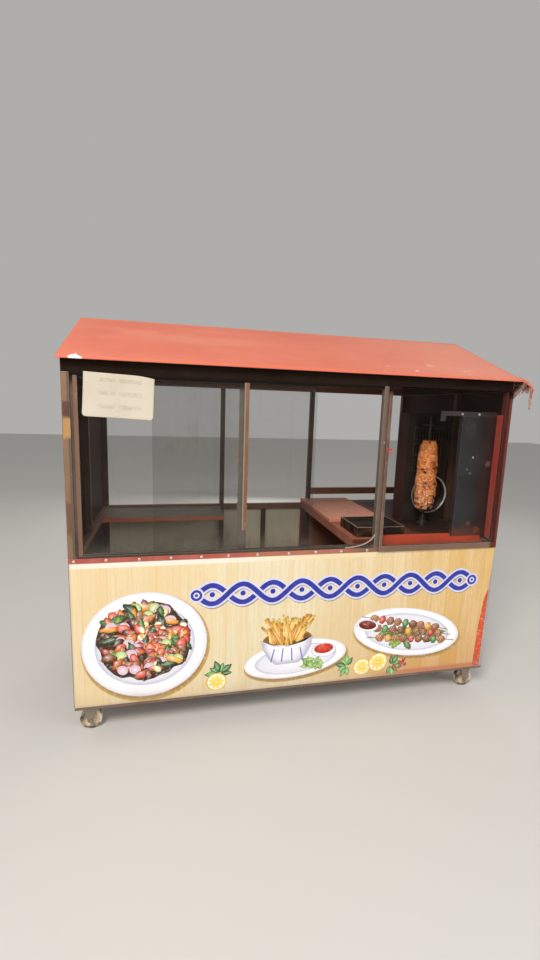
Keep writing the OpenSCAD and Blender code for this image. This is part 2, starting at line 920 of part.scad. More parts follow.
base_rails();
base_cross();
floor_deck();
castor_forks();
front_posts();
back_posts();
front_rails();
back_rails();
side_rails();
side_studs();
front_panel();
printed_cover();
sill_trim();
left_wall_sheets();
right_wall_sheets();
back_sheets();
sash_frame();
sash_glass();
window_battens();
window_tracks();
grill_window_frame();
grill_window_glass();
front_roof_sheet();
back_roof_sheet();
gable_sheets();
rafters();
ridge_bar();
work_counter();
counter_frame();
cutting_board();
griddle();
left_shelf();
heat_plate();
burner_box();
fire_guards();
spit_arm();
spit_foot();
round_pan();
awning_frame();
awning_cloth();
spit_rod();
spit_meat();
wheel_front_left();
wheel_front_right();
wheel_back_left();
wheel_back_right();
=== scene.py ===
# Street food kiosk on castors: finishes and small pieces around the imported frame.
import math
import random
import bpy
import bmesh
from mathutils import Matrix, Vector, noise


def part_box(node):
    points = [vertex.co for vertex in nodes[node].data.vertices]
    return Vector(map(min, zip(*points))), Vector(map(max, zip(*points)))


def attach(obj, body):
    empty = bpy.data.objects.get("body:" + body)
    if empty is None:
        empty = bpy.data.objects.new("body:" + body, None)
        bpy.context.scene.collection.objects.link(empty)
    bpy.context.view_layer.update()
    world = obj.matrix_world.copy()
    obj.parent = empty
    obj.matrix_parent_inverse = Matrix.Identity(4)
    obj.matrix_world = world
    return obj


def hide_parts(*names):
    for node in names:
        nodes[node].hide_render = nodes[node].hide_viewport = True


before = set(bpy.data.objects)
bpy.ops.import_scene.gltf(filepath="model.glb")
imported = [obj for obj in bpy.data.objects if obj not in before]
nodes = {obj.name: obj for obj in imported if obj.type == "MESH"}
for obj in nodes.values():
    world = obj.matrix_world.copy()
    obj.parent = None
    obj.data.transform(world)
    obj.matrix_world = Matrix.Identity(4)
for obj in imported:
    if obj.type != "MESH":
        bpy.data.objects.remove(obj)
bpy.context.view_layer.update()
scene = bpy.context.scene
print("frame loaded:", len(nodes), "nodes")

# camera, light and floor

camera = {"place": (-0.6994, -2.5596, 1.5627), "yaw": 0.2213, "pitch": 0.1612, "roll": 0.0331, "lens": 16.67}
lamps = {
    "keyLamp": {
        "place": (-2.5, -4.2, 5.1), "target": (0, -0.4, 1.1), "size": 2.2, "power": 315.0, "tint": (1.0, 0.955, 0.89),
        "mirrored": True},
    "fillLamp": {
        "place": (3.8, -3.6, 2.6), "target": (0.2, -0.4, 0.9), "size": 3.0, "power": 75.0, "tint": (0.97, 0.98, 1.0)},
    "frontLamp": {
        "place": (-0.4, -4.3, 2.7), "target": (-0.1, 0.5, 0.6), "size": 1.3, "power": 24.0,
        "tint": (1.0, 0.97, 0.93)},
    "backLamp": {
        "place": (0.9, 4.6, 1.9), "target": (0, 0.3, 0.9), "size": 2.6, "power": 75.0, "tint": (1.0, 0.97, 0.93)},}
studio = {"sky": (0.86, 0.845, 0.82), "skyStrength": 0.5, "floor": (0.6, 0.59, 0.57)}


def photoCamera(c):
    forward = Vector((math.sin(c["yaw"]), math.cos(c["yaw"]), 0))
    side = Vector((math.cos(c["yaw"]), -math.sin(c["yaw"]), 0))
    look = forward * math.cos(c["pitch"]) - Vector((0, 0, 1)) * math.sin(c["pitch"])
    top = forward * math.sin(c["pitch"]) + Vector((0, 0, 1)) * math.cos(c["pitch"])
    right = side * math.cos(c["roll"]) + top * math.sin(c["roll"])
    head = top * math.cos(c["roll"]) - side * math.sin(c["roll"])
    lens = bpy.data.cameras.new("photoCamera")
    lens.lens = c["lens"]
    lens.clip_start = 0.05
    holder = bpy.data.objects.new("photoCamera", lens)
    holder.matrix_world = Matrix.Translation(c["place"]) @ Matrix((right, head, -look)).transposed().to_4x4()
    scene.collection.objects.link(holder)
    scene.camera = holder


def softLamp(name, place, target, size, power, tint, mirrored=False):
    lamp = bpy.data.lights.new(name, "AREA")
    lamp.shape = "DISK"
    lamp.size = size
    lamp.energy = power
    lamp.color = tint
    holder = bpy.data.objects.new(name, lamp)
    holder.location = place
    holder.rotation_euler = (Vector(target) - Vector(place)).to_track_quat("-Z", "Y").to_euler()
    holder.visible_camera = False
    holder.visible_transmission = False
    holder.visible_glossy = mirrored
    scene.collection.objects.link(holder)


photoCamera(camera)
for name, lamp in lamps.items():
    softLamp(name, **lamp)
scene.view_settings.view_transform = "Standard"
sky = bpy.data.worlds.new("paleStudio")
sky.use_nodes = True
sky.node_tree.nodes["Background"].inputs["Color"].default_value = (*studio["sky"], 1)
sky.node_tree.nodes["Background"].inputs["Strength"].default_value = studio["skyStrength"]
scene.world = sky

# helpers for shader trees


class Board:
    # a shader tree with short ways to add what every finish here uses
    def __init__(self, tree):
        self.tree = tree

    def put(self, kind, sockets=None, **settings):
        node = self.tree.nodes.new(kind)
        for name, value in settings.items():
            setattr(node, name, value)
        for key, value in (sockets or {}).items():
            if isinstance(value, bpy.types.NodeSocket):
                self.tree.links.new(value, node.inputs[key])
            else:
                if isinstance(value, tuple) and len(value) == 3 and node.inputs[key].type == "RGBA":
                    value = (*value, 1.0)
                node.inputs[key].default_value = value
        return node

    def num(self, what, a, b=0.0, clamp=False):
        return self.put("ShaderNodeMath", {0: a, 1: b}, operation=what, use_clamp=clamp).outputs[0]

    def add(self, a, b, clamp=False):
        return self.num("ADD", a, b, clamp)

    def sub(self, a, b):
        return self.num("SUBTRACT", a, b)

    def mul(self, a, b, clamp=False):
        return self.num("MULTIPLY", a, b, clamp)

    def most(self, a, b):
        return self.num("MAXIMUM", a, b)

    def length(self, vector):
        return self.put("ShaderNodeVectorMath", {0: vector}, operation="LENGTH").outputs["Value"]

    def normal(self):
        return self.put("ShaderNodeNewGeometry").outputs["Normal"]

    def place(self):
        return self.put("ShaderNodeTexCoord").outputs["Object"]

    def axis(self, which, vector=None):
        split = self.put("ShaderNodeSeparateXYZ", {0: vector or self.place()})
        return split.outputs["XYZ".index(which.upper())]

    def stretch(self, scale, vector=None, move=(0.0, 0.0, 0.0), turn=(0.0, 0.0, 0.0)):
        mapping = {"Vector": vector or self.place(), "Scale": scale, "Location": move, "Rotation": turn}
        return self.put("ShaderNodeMapping", mapping).outputs[0]

    def clouds(self, scale, vector=None, detail=4.0, rough=0.55, warp=0.0):
        sockets = {
            "Vector": vector or self.place(), "Scale": scale, "Detail": detail, "Roughness": rough,
            "Distortion": warp}
        return self.put("ShaderNodeTexNoise", sockets).outputs[0]

    def cells(self, scale, vector=None, feature="F1"):
        sockets = {"Vector": vector or self.place(), "Scale": scale}
        return self.put("ShaderNodeTexVoronoi", sockets, feature=feature).outputs["Distance"]

    def step(self, value, low, high, to=1.0, start=0.0):
        sockets = {"Value": value, "From Min": low, "From Max": high, "To Min": start, "To Max": to}
        return self.put("ShaderNodeMapRange", sockets, interpolation_type="SMOOTHSTEP").outputs[0]

    def mix(self, fac, a, b, mode="MIX"):
        node = self.put("ShaderNodeMix", data_type="RGBA", blend_type=mode)
        for socket, value in zip([node.inputs[0], node.inputs[6], node.inputs[7]], (fac, a, b)):
            if isinstance(value, bpy.types.NodeSocket):
                self.tree.links.new(value, socket)
            else:
                socket.default_value = value if socket.type == "VALUE" else (*value[:3], 1.0)
        return node.outputs[2]

    def ramp(self, fac, *stops):
        node = self.put("ShaderNodeValToRGB", {0: fac})
        line = node.color_ramp.elements
        line[0].position, line[0].color = stops[0][0], (*stops[0][1], 1)
        line[1].position, line[1].color = stops[-1][0], (*stops[-1][1], 1)
        for at, colour in stops[1:-1]:
            line.new(at).color = (*colour, 1)
        return node.outputs[0]

    def group(self, made, **values):
        node = self.put("ShaderNodeGroup", node_tree=made)
        for key, value in values.items():
            socket = node.inputs[key[0].upper() + key[1:]]
            if isinstance(value, bpy.types.NodeSocket):
                self.tree.links.new(value, socket)
            else:
                socket.default_value = (*value, 1.0) if isinstance(value, tuple) and socket.type == "RGBA" else value
        return node.outputs

    def bump(self, height, strength=0.3, distance=0.001, normal=None):
        sockets = {"Height": height, "Strength": strength, "Distance": distance}
        if normal:
            sockets["Normal"] = normal
        return self.put("ShaderNodeBump", sockets).outputs[0]

    def facing(self, which, low, high):
        return self.step(self.axis(which, self.normal()), low, high)


def shaderGroup(name, takes, gives, build):
    # an input that starts as None is a vector, one that starts as three numbers is a colour
    tree = bpy.data.node_groups.new(name, "ShaderNodeTree")
    for title, value in takes.items():
        kind = "Vector" if value is None else "Color" if isinstance(value, tuple) else "Float"
        socket = tree.interface.new_socket(title, in_out="INPUT", socket_type="NodeSocket" + kind)
        if value is not None:
            socket.default_value = (*value, 1.0) if kind == "Color" else value
    for title, kind in gives.items():
        tree.interface.new_socket(title, in_out="OUTPUT", socket_type="NodeSocket" + kind)
    board = Board(tree)
    entry = board.put("NodeGroupInput")
    outlet = board.put("NodeGroupOutput")
    for title, socket in build(board, entry.outputs).items():
        tree.links.new(socket, outlet.inputs[title])
    return tree


# shared effects


def buildEdges(b, given):
    # where a corner is near, the paint has rubbed off; its normal also rounds the corner
    soft = b.put("ShaderNodeBevel", {"Radius": given["Radius"]}, samples=6).outputs[0]
    same = b.put("ShaderNodeVectorMath", {0: soft, 1: b.normal()}, operation="DOT_PRODUCT").outputs["Value"]
    edge = b.step(same, 0.992, 0.82)
    rub = b.add(b.clouds(given["Grain"], detail=6.0, rough=0.7), b.mul(b.clouds(4.0), 0.35))
    worn = b.step(b.add(b.mul(edge, given["Amount"]), b.mul(rub, 0.6)), 0.72, 0.86)
    return {"Mask": b.mul(worn, edge), "Normal": soft}


edgeWear = shaderGroup(
    "edgeWear", {"Radius": 0.003, "Amount": 0.5, "Grain": 60.0}, {"Mask": "Float", "Normal": "Vector"}, buildEdges)


def buildClouds(b, given):
    broad = b.step(b.clouds(given["Scale"], detail=5.0, warp=0.4), 0.36, 0.66)
    fine = b.step(b.clouds(b.mul(given["Scale"], 14.0), detail=3.0), 0.3, 0.7)
    both = b.add(b.mul(broad, 0.75), b.mul(fine, 0.25))
    return {"Colour": b.mix(both, given["Paint"], given["Faded"]), "Value": both}


paintClouds = shaderGroup(
    "paintClouds", {"Paint": (0.5, 0.1, 0.08), "Faded": (0.6, 0.2, 0.15), "Scale": 3.0},
    {"Colour": "Color", "Value": "Float"}, buildClouds)


def buildChips(b, given):
    spots = b.clouds(given["Scale"], detail=8.0, rough=0.68, warp=0.6)
    patch = b.clouds(b.mul(given["Scale"], 0.16), detail=2.0)
    level = b.add(b.mul(spots, 0.62), b.mul(patch, 0.38))
    low = b.sub(0.72, b.mul(given["Amount"], 0.22))
    return {"Mask": b.step(level, low, b.add(low, 0.025))}


paintChips = shaderGroup("paintChips", {"Scale": 30.0, "Amount": 0.3}, {"Mask": "Float"}, buildChips)


def buildDust(b, given):
    up = b.facing("z", 0.15, 0.95)
    film = b.step(b.clouds(given["Scale"], detail=6.0, rough=0.65), 0.28, 0.75)
    lying = b.mul(up, b.add(b.mul(film, 0.6), 0.4))
    thin = b.mul(film, 0.28)
    splash = b.add(b.axis("z"), b.mul(b.clouds(9.0, detail=5.0), -0.22))
    low = b.mul(b.step(splash, given["Splash"], -0.12), 0.8)
    total = b.most(b.most(lying, thin), low)
    return {"Mask": b.mul(total, given["Amount"], clamp=True)}


settledDust = shaderGroup("settledDust", {"Scale": 7.0, "Amount": 0.4, "Splash": 0.12}, {"Mask": "Float"}, buildDust)


def buildRuns(b, given):
    lines = b.clouds(1.0, b.stretch((55.0, 55.0, 1.6)), detail=4.0, rough=0.6)
    patch = b.clouds(2.4, detail=2.0)
    level = b.add(b.mul(lines, 0.7), b.mul(patch, 0.3))
    return {"Mask": b.mul(b.step(level, 0.5, 0.68), given["Amount"])}


dirtRuns = shaderGroup("dirtRuns", {"Amount": 0.3}, {"Mask": "Float"}, buildRuns)


def buildGrain(b, given):
    # long fibres along the vector's Z, with darker late wood and fine pores
    slow = b.clouds(1.0, b.stretch((1.0, 1.0, 0.06), given["Vector"]), detail=5.0, rough=0.6, warp=0.5)
    rings = b.num("FRACT", b.mul(slow, given["Rings"]))
    late = b.mul(b.step(rings, 0.35, 0.8), b.step(rings, 1.0, 0.86))
    pores = b.clouds(1.0, b.stretch((9.0, 9.0, 0.3), given["Vector"]), detail=3.0, rough=0.7)
    value = b.add(b.mul(late, 0.6), b.mul(pores, 0.4))
    return {"Value": value, "Height": b.sub(1.0, value)}


woodGrain = shaderGroup(
    "woodGrain", {"Vector": None, "Rings": 9.0}, {"Value": "Float", "Height": "Float"}, buildGrain)


def buildWeave(b, given):
    s = b.put("ShaderNodeSeparateXYZ", {0: given["Vector"]}).outputs
    across = b.num("SINE", b.mul(s[0], given["Threads"]))
    along = b.num("SINE", b.mul(s[1], given["Threads"]))
    height = b.most(b.num("ABSOLUTE", across), b.num("ABSOLUTE", along))
    slub = b.clouds(1.0, b.stretch((240.0, 14.0, 14.0), given["Vector"]), detail=3.0)
    return {"Height": height, "Slub": b.step(slub, 0.35, 0.7)}


clothWeave = shaderGroup(
    "clothWeave", {"Vector": None, "Threads": 1800.0}, {"Height": "Float", "Slub": "Float"}, buildWeave)


def buildScuffs(b, given):
    turned = b.stretch((1.0, 1.0, 1.0), turn=(0.3, 0.5, 0.7))
    scratch = b.cells(1.0, b.stretch((90.0, 4.0, 90.0), turned), "DISTANCE_TO_EDGE")
    gate = b.step(b.clouds(11.0, detail=2.0), 0.54, 0.62)
    return {"Mask": b.mul(b.mul(b.step(scratch, 0.03, 0.0), gate), given["Amount"])}


scuffLines = shaderGroup("scuffLines", {"Amount": 0.5}, {"Mask": "Float"}, buildScuffs)
print("shared effects built")

# finishes

dustTone = (0.36, 0.28, 0.2)
sootTone = (0.012, 0.01, 0.009)
rustTone = (0.17, 0.055, 0.02)
steelTone = (0.33, 0.31, 0.29)


finishes = {}


class Finish(Board):
    # a material with one Principled shader, found again under its name
    sockets = {
        "colour": "Base Color", "rough": "Roughness", "normal": "Normal", "metal": "Metallic", "alpha": "Alpha",
        "coat": "Coat Weight", "coatRough": "Coat Roughness", "ior": "IOR", "through": "Transmission Weight",
        "sheen": "Sheen Weight", "inside": "Subsurface Weight", "insideScale": "Subsurface Scale",
        "specular": "Specular IOR Level"}

    def __init__(self, name):
        self.made = finishes[name] = bpy.data.materials.new(name)
        self.made.use_nodes = True
        super().__init__(self.made.node_tree)
        self.tree.nodes.clear()
        self.shader = self.put("ShaderNodeBsdfPrincipled")
        self.put("ShaderNodeOutputMaterial", {"Surface": self.shader.outputs[0]})

    def feed(self, **given):
        for key, value in given.items():
            socket = self.shader.inputs[self.sockets[key]]
            if isinstance(value, bpy.types.NodeSocket):
                self.tree.links.new(value, socket)
            else:
                socket.default_value = (*value, 1.0) if socket.type == "RGBA" else value
        return self.made


def coverShare(b, which, low, high, share, ragged=0.0):
    # how far a tone covers, from low to high along an axis, or along a normal's axis ("nx")
    # "x|y" covers only faces that are turned to -Y
    which, _, side = which.partition("|")
    along = b.axis(which) if len(which) == 1 else b.axis(which[1], b.normal())
    if ragged:
        along = b.add(along, b.mul(b.sub(b.clouds(22.0, detail=5.0), 0.5), ragged))
    cover = b.step(along, low, high, share)
    return b.mul(cover, b.facing(side, -0.5, -0.8)) if side else cover


def paintedSteel(
        name, paint, faded, bare=rustTone, rough=0.45, cloud=3.0, edge=0.0025, wear=0.5, chips=0.25, chipScale=34.0,
        dust=0.35, dustTone=dustTone, splash=0.12, runs=0.25, scuffs=0.0, metal=0.0, gloss=0.5, zones=(), patches=(),
        shades=()):
    # zones lie under the wear and the dust, patches are ragged round spots;
    # shades cover all and take the shine away: most are painted shade, one is painted light, a few are a part's own
    # paint
    b = Finish(name)
    colour = b.group(paintClouds, paint=paint, faded=faded, scale=cloud)["Colour"]
    for which, low, high, tone, share in zones:
        colour = b.mix(coverShare(b, which, low, high, share, 0.5 * abs(high - low)), colour, tone)
    for x, z, reach, tone in patches:
        away = b.length(b.stretch((1.0, 0.0, 1.0), move=(-x, 0.0, -z)))
        ragged = b.add(away, b.mul(b.clouds(45.0, detail=6.0), reach))
        colour = b.mix(b.step(ragged, 1.6 * reach, 1.3 * reach, 0.9), colour, tone)
    colour = b.mix(b.group(dirtRuns, amount=runs)["Mask"], colour, b.mix(0.35, colour, sootTone))
    edges = b.group(edgeWear, radius=edge, amount=wear)
    spots = b.group(paintChips, scale=chipScale, amount=chips)["Mask"]
    worn = b.most(edges["Mask"], spots)
    if scuffs:
        worn = b.most(worn, b.group(scuffLines, amount=scuffs)["Mask"])
    tarnish = b.mix(b.step(b.clouds(70.0), 0.35, 0.65), bare, tuple(min(1.0, 1.9 * c) for c in bare))
    colour = b.mix(worn, colour, tarnish)
    film = b.group(settledDust, amount=dust, splash=splash)["Mask"]
    colour = b.mix(film, colour, dustTone)
    shine = gloss
    for which, low, high, tone, share in shades:
        cover = coverShare(b, which, low, high, share)
        colour = b.mix(cover, colour, tone)
        shine = b.mul(b.sub(1.0, cover), shine)
    skin = b.clouds(220.0, detail=2.0)
    height = b.sub(b.mul(skin, 0.25), b.mul(worn, 0.6))
    roughness = b.add(rough, b.add(b.mul(film, 0.35), b.mul(worn, 0.22)), clamp=True)
    return b.feed(
        colour=colour, rough=roughness, normal=b.bump(height, 0.25, 0.0008, edges["Normal"]), metal=metal,
        specular=shine)


wine = (0.085, 0.022, 0.018)
wineFaded = (0.14, 0.05, 0.036)
coral = (0.56, 0.105, 0.055)

paintedSteel("basePaint", wine, wineFaded, wear=0.75, chips=0.5, dust=0.75, splash=0.22)
paintedSteel("postPaint", (0.055, 0.021, 0.016), (0.1, 0.048, 0.036), wear=0.6, chips=0.3, dust=0.22, gloss=0.25)
paintedSteel(
    "frontPostPaint", (0.14, 0.082, 0.06), (0.21, 0.145, 0.112), bare=(0.3, 0.23, 0.19), wear=0.85, chips=0.45,
    cloud=6.0, dust=0.2,
    zones=[
        ("x", -1.0, -1.05, (0.2, 0.115, 0.06), 0.9), ("x", -1.123, -1.12, (0.068, 0.046, 0.033), 0.75),
        ("x", 0.1, 0.2, (0.14, 0.1, 0.076), 0.75), ("x", 0.9, 0.95, (0.12, 0.026, 0.022), 0.96)],
    patches=[
        (-1.128, 1.45, 0.045, (0.42, 0.22, 0.07)), (-1.128, 1.53, 0.035, (0.07, 0.02, 0.016)),
        (-1.128, 1.06, 0.08, (0.12, 0.056, 0.032))],
    shades=[("x", 0.9, 0.95, (0.1, 0.024, 0.02), 0.93)])
# near-black and without shine: dark paint, and painted shade under the eave
paintedSteel(
    "railPaint", (0.012, 0.007, 0.005), (0.02, 0.012, 0.009), bare=(0.05, 0.032, 0.024), wear=0.3, chips=0.12,
    dust=0.03, gloss=0.0)
# faces turned to -X are made near-black without shine: painted shade inside the grill bay
paintedSteel(
    "sideRailPaint", (0.16, 0.062, 0.043), (0.23, 0.11, 0.075), wear=0.65, chips=0.35, dust=0.3,
    zones=[("y", 0.45, 0.5, (0.27, 0.13, 0.085), 0.8)], shades=[("nx", -0.5, -0.9, (0.018, 0.009, 0.008), 0.94)])
paintedSteel(
    "panelSteel", (0.3, 0.29, 0.28), (0.38, 0.36, 0.33), bare=rustTone, rough=0.5, wear=0.3, chips=0.22, dust=0.4,
    splash=0.3)
wallLook = {
    "paint": (0.15, 0.035, 0.026), "faded": (0.23, 0.075, 0.055), "wear": 0.6, "chips": 0.32, "cloud": 2.2,
    "dust": 0.4, "splash": 0.3, "runs": 0.4, "scuffs": 0.3}
# the walls' inner faces are made near-black without shine: painted shade inside the kiosk, in the grill bay also soot
paintedSteel("wallPaint", shades=[("nx", 0.5, 0.9, (0.03, 0.014, 0.012), 0.94)], **wallLook)
paintedSteel("grillWallPaint", shades=[("nx", -0.5, -0.9, (0.022, 0.011, 0.01), 0.94)], **wallLook)
# the inner faces, turned to -Y, are made paler without shine: painted light inside the kiosk; right of x 0.29 they
# are red-brown paint instead
paintedSteel(
    "backPaint", (0.68, 0.6, 0.44), (0.76, 0.68, 0.51), bare=(0.2, 0.12, 0.07), wear=0.4, chips=0.26, dust=0.3,
    splash=0.4, runs=0.45,
    shades=[("ny", -0.5, -0.8, (0.95, 0.885, 0.7), 0.95), ("x|y", 0.2875, 0.2895, (0.3, 0.115, 0.07), 0.93)])
paintedSteel(
    "trimPaint", (0.36, 0.055, 0.038), (0.45, 0.11, 0.08),
    zones=[("x", -0.42, -0.2, (0.4, 0.15, 0.08), 0.75), ("x", 0.1, 0.26, (0.15, 0.07, 0.05), 0.8)],
    bare=(0.34, 0.2, 0.16), rough=0.4, edge=0.0012, wear=0.55, chips=0.25, cloud=9.0, dust=0.15)
# the tops above z 1.6 are made near-black without shine: painted shade under the eave
paintedSteel(
    "trackSteel", (0.045, 0.037, 0.03), (0.085, 0.07, 0.057), bare=(0.2, 0.18, 0.16), rough=0.4, wear=0.5, dust=0.25,
    chips=0.2, metal=0.5, shades=[("z", 1.6, 1.65, (0.01, 0.008, 0.007), 0.95)])
# the tops above z 1.62 are made near-black without shine: painted shade under the eave
paintedSteel(
    "sashSteel", (0.044, 0.036, 0.029), (0.08, 0.067, 0.055), bare=(0.2, 0.165, 0.13), wear=0.65, chips=0.25,
    cloud=7.0, dust=0.18, gloss=0.3,
    zones=[("x", -0.415, -0.405, (0.09, 0.078, 0.066), 0.8), ("z", 0.93, 0.9, (0.03, 0.025, 0.021), 0.7)],
    shades=[("z", 1.62, 1.655, (0.018, 0.014, 0.012), 0.93)])
paintedSteel(
    "battenPaint", (0.172, 0.072, 0.03), (0.205, 0.104, 0.056), bare=(0.22, 0.16, 0.11), wear=0.6, chips=0.4,
    cloud=12.0, dust=0.1, gloss=0.3,
    zones=[("x", -0.3693, -0.3699, (0.2, 0.183, 0.156), 1.0), ("x", -1.06, -1.09, (0.175, 0.066, 0.036), 0.85)])
# the top member above z 1.63 is made near-black without shine: painted shade under the eave
paintedSteel(
    "grillFramePaint", (0.1, 0.045, 0.034), (0.18, 0.11, 0.085), bare=(0.3, 0.25, 0.21), wear=0.6, chips=0.3,
    cloud=8.0, dust=0.12, gloss=0.3,
    zones=[
        ("z", 0.9, 0.87, (0.17, 0.11, 0.078), 0.75), ("x", 0.966, 0.986, (0.11, 0.022, 0.019), 0.94),
        ("x", 1.007, 1.011, (0.27, 0.19, 0.15), 0.75)],
    shades=[("x", 0.97, 0.986, (0.11, 0.028, 0.023), 0.84), ("z", 1.63, 1.665, (0.011, 0.006, 0.006), 0.97)])
paintedSteel("rafterPaint", (0.1, 0.026, 0.02), (0.15, 0.05, 0.035), wear=0.45, dust=0.2)
# near-black between x 0.4 and 0.72: soot and painted shade; front faces left of x 0.4 and five spots at z 0.873 left
# of the bay post are darkened as painted shade
paintedSteel(
    "counterPaint", (0.34, 0.09, 0.055), (0.4, 0.17, 0.11), bare=(0.12, 0.06, 0.04), wear=0.6, chips=0.4, cloud=5.0,
    dust=0.05, gloss=0.2, dustTone=(0.3, 0.17, 0.11), splash=0.1,
    zones=[
        ("x", 0.4, 0.72, (0.008, 0.005, 0.003), 0.96), ("z", 0.86, 0.82, (0.3, 0.04, 0.024), 0.8),
        ("y", -0.4605, -0.4615, (0.6, 0.075, 0.032), 0.93), ("x|y", 0.4, 0.37, (0.085, 0.036, 0.022), 0.95)],
    patches=[(0.245 + 0.02 * spot, 0.873, 0.012, (0.085, 0.036, 0.022)) for spot in range(5)])
paintedSteel(
    "shelfPaint", (0.17, 0.14, 0.11), (0.24, 0.2, 0.155), bare=(0.3, 0.14, 0.08), wear=0.7, chips=0.35, dust=0.3,
    dustTone=(0.24, 0.18, 0.13), zones=[("ny", -0.5, -0.8, (0.8, 0.22, 0.1), 0.92)])
paintedSteel(
    "heatSheet", (0.016, 0.017, 0.02), (0.034, 0.034, 0.038), bare=(0.17, 0.13, 0.11), rough=0.42, cloud=4.0,
    wear=0.5, chips=0.2, dust=0.1, gloss=0.3, scuffs=0.6, dustTone=(0.12, 0.085, 0.07), metal=0.15,
    zones=[
        ("y", -0.4628, -0.4636, (0.045, 0.04, 0.037), 0.85), ("z", 0.97, 0.905, (0.2, 0.06, 0.035), 0.7),
        ("x", 0.93, 0.995, (0.09, 0.028, 0.024), 0.55)],
    patches=[
        (0.892, 1.333, 0.005, (0.6, 0.58, 0.55)), (0.863, 1.267, 0.006, (0.16, 0.15, 0.15)),
        (0.884, 1.246, 0.007, (0.14, 0.13, 0.13)), (0.905, 0.965, 0.016, (0.17, 0.055, 0.035)),
        (0.96, 0.93, 0.02, (0.25, 0.07, 0.045)), (0.99, 1.298, 0.018, (0.22, 0.12, 0.1))])
paintedSteel(
    "burnerIron", (0.015, 0.012, 0.011), (0.033, 0.025, 0.022), bare=(0.09, 0.045, 0.03), rough=0.6, wear=0.4,
    chips=0.3, dust=0.05, zones=[("nx", -0.5, -0.8, (0.06, 0.014, 0.013), 0.85)], gloss=0.1)
paintedSteel(
    "guardSteel", (0.1, 0.07, 0.05), (0.17, 0.12, 0.085), bare=(0.28, 0.2, 0.14), rough=0.42, wear=0.3, chips=0.2,
    dust=0.1, metal=0.7)
paintedSteel(
    "spitSteel", (0.1, 0.085, 0.075), (0.07, 0.05, 0.04), bare=(0.04, 0.024, 0.018), rough=0.34, cloud=18.0, wear=0.2,
    chips=0.35, dust=0.1, metal=0.85)
paintedSteel(
    "castorSteel", (0.27, 0.24, 0.21), (0.37, 0.33, 0.28), bare=rustTone, rough=0.42, cloud=14.0, wear=0.5, chips=0.5,
    dust=0.6, metal=0.6, splash=0.14)
print("painted steel done")


def roofFinish():
    b = Finish("roofPaint")
    x, z = b.axis("x"), b.axis("z")
    colour = b.group(paintClouds, paint=coral, faded=(0.63, 0.142, 0.078), scale=1.3)["Colour"]
    greyer = b.step(b.add(x, b.mul(b.clouds(2.6), 0.5)), 0.25, 1.35, 0.75)
    colour = b.mix(greyer, colour, (0.68, 0.235, 0.16))
    dry = b.step(b.clouds(1.0, b.stretch((1.6, 5.0, 5.0)), detail=6.0), 0.5, 0.72, 0.35)
    colour = b.mix(dry, colour, (0.7, 0.24, 0.155))
    # a brighter red along the eave fold, the ridge and the end edges: painted light on the folds
    hem = b.most(b.step(z, 1.752, 1.742), b.step(z, 1.974, 1.986))
    ends = b.most(b.step(x, -1.136, -1.148), b.step(x, 1.012, 1.026))
    colour = b.mix(b.mul(b.most(hem, ends), 0.8), colour, (0.66, 0.122, 0.06))
    # pale scuffs low down near the right, and one daub of white paint at the left
    scuff = b.step(b.clouds(1.0, b.stretch((16.0, 30.0, 60.0)), detail=6.0, rough=0.7), 0.6, 0.68)
    near = b.mul(b.step(x, 0.15, 0.4), b.step(z, 1.85, 1.78))
    colour = b.mix(b.mul(b.mul(scuff, near), 0.75), colour, (0.84, 0.6, 0.48))
    daub = b.add(b.num("ABSOLUTE", b.add(x, 1.08)), b.mul(b.clouds(50.0, detail=3.0), 0.03))
    daub = b.add(daub, b.mul(b.most(b.sub(z, 1.741), 0.0), 1.6))
    daub = b.mul(b.step(daub, 0.043, 0.036), b.step(b.axis("y"), -0.5, -0.56))
    colour = b.mix(daub, colour, (0.88, 0.83, 0.78))
    specks = b.mul(b.step(b.cells(26.0), 0.09, 0.05), b.step(b.clouds(6.0), 0.5, 0.6))
    colour = b.mix(b.mul(specks, 0.4), colour, (0.3, 0.09, 0.06))
    # painted shade: faces turned downwards are made dark
    under = b.facing("z", -0.2, -0.6)
    colour = b.mix(under, colour, (0.05, 0.02, 0.016))
    film = b.group(settledDust, amount=0.1, scale=3.0, splash=-1.0)["Mask"]
    colour = b.mix(film, colour, (0.6, 0.4, 0.3))
    edges = b.group(edgeWear, radius=0.003, amount=0.35)
    colour = b.mix(edges["Mask"], colour, (0.5, 0.2, 0.14))
    wave = b.clouds(1.0, b.stretch((2.2, 3.0, 3.0)), detail=1.5)
    dents = b.step(b.cells(5.5, b.stretch((1.0, 1.5, 1.5))), 0.16, 0.0)
    normal = b.bump(b.add(b.mul(wave, 6.0), b.mul(dents, -0.7)), 0.32, 0.004, edges["Normal"])
    normal = b.bump(b.clouds(260.0, detail=2.0), 0.12, 0.0006, normal)
    rough = b.add(b.mul(b.clouds(3.5, detail=5.0), 0.22), 0.36)
    return b.feed(colour=colour, rough=rough, normal=normal, coat=0.12, coatRough=0.4)


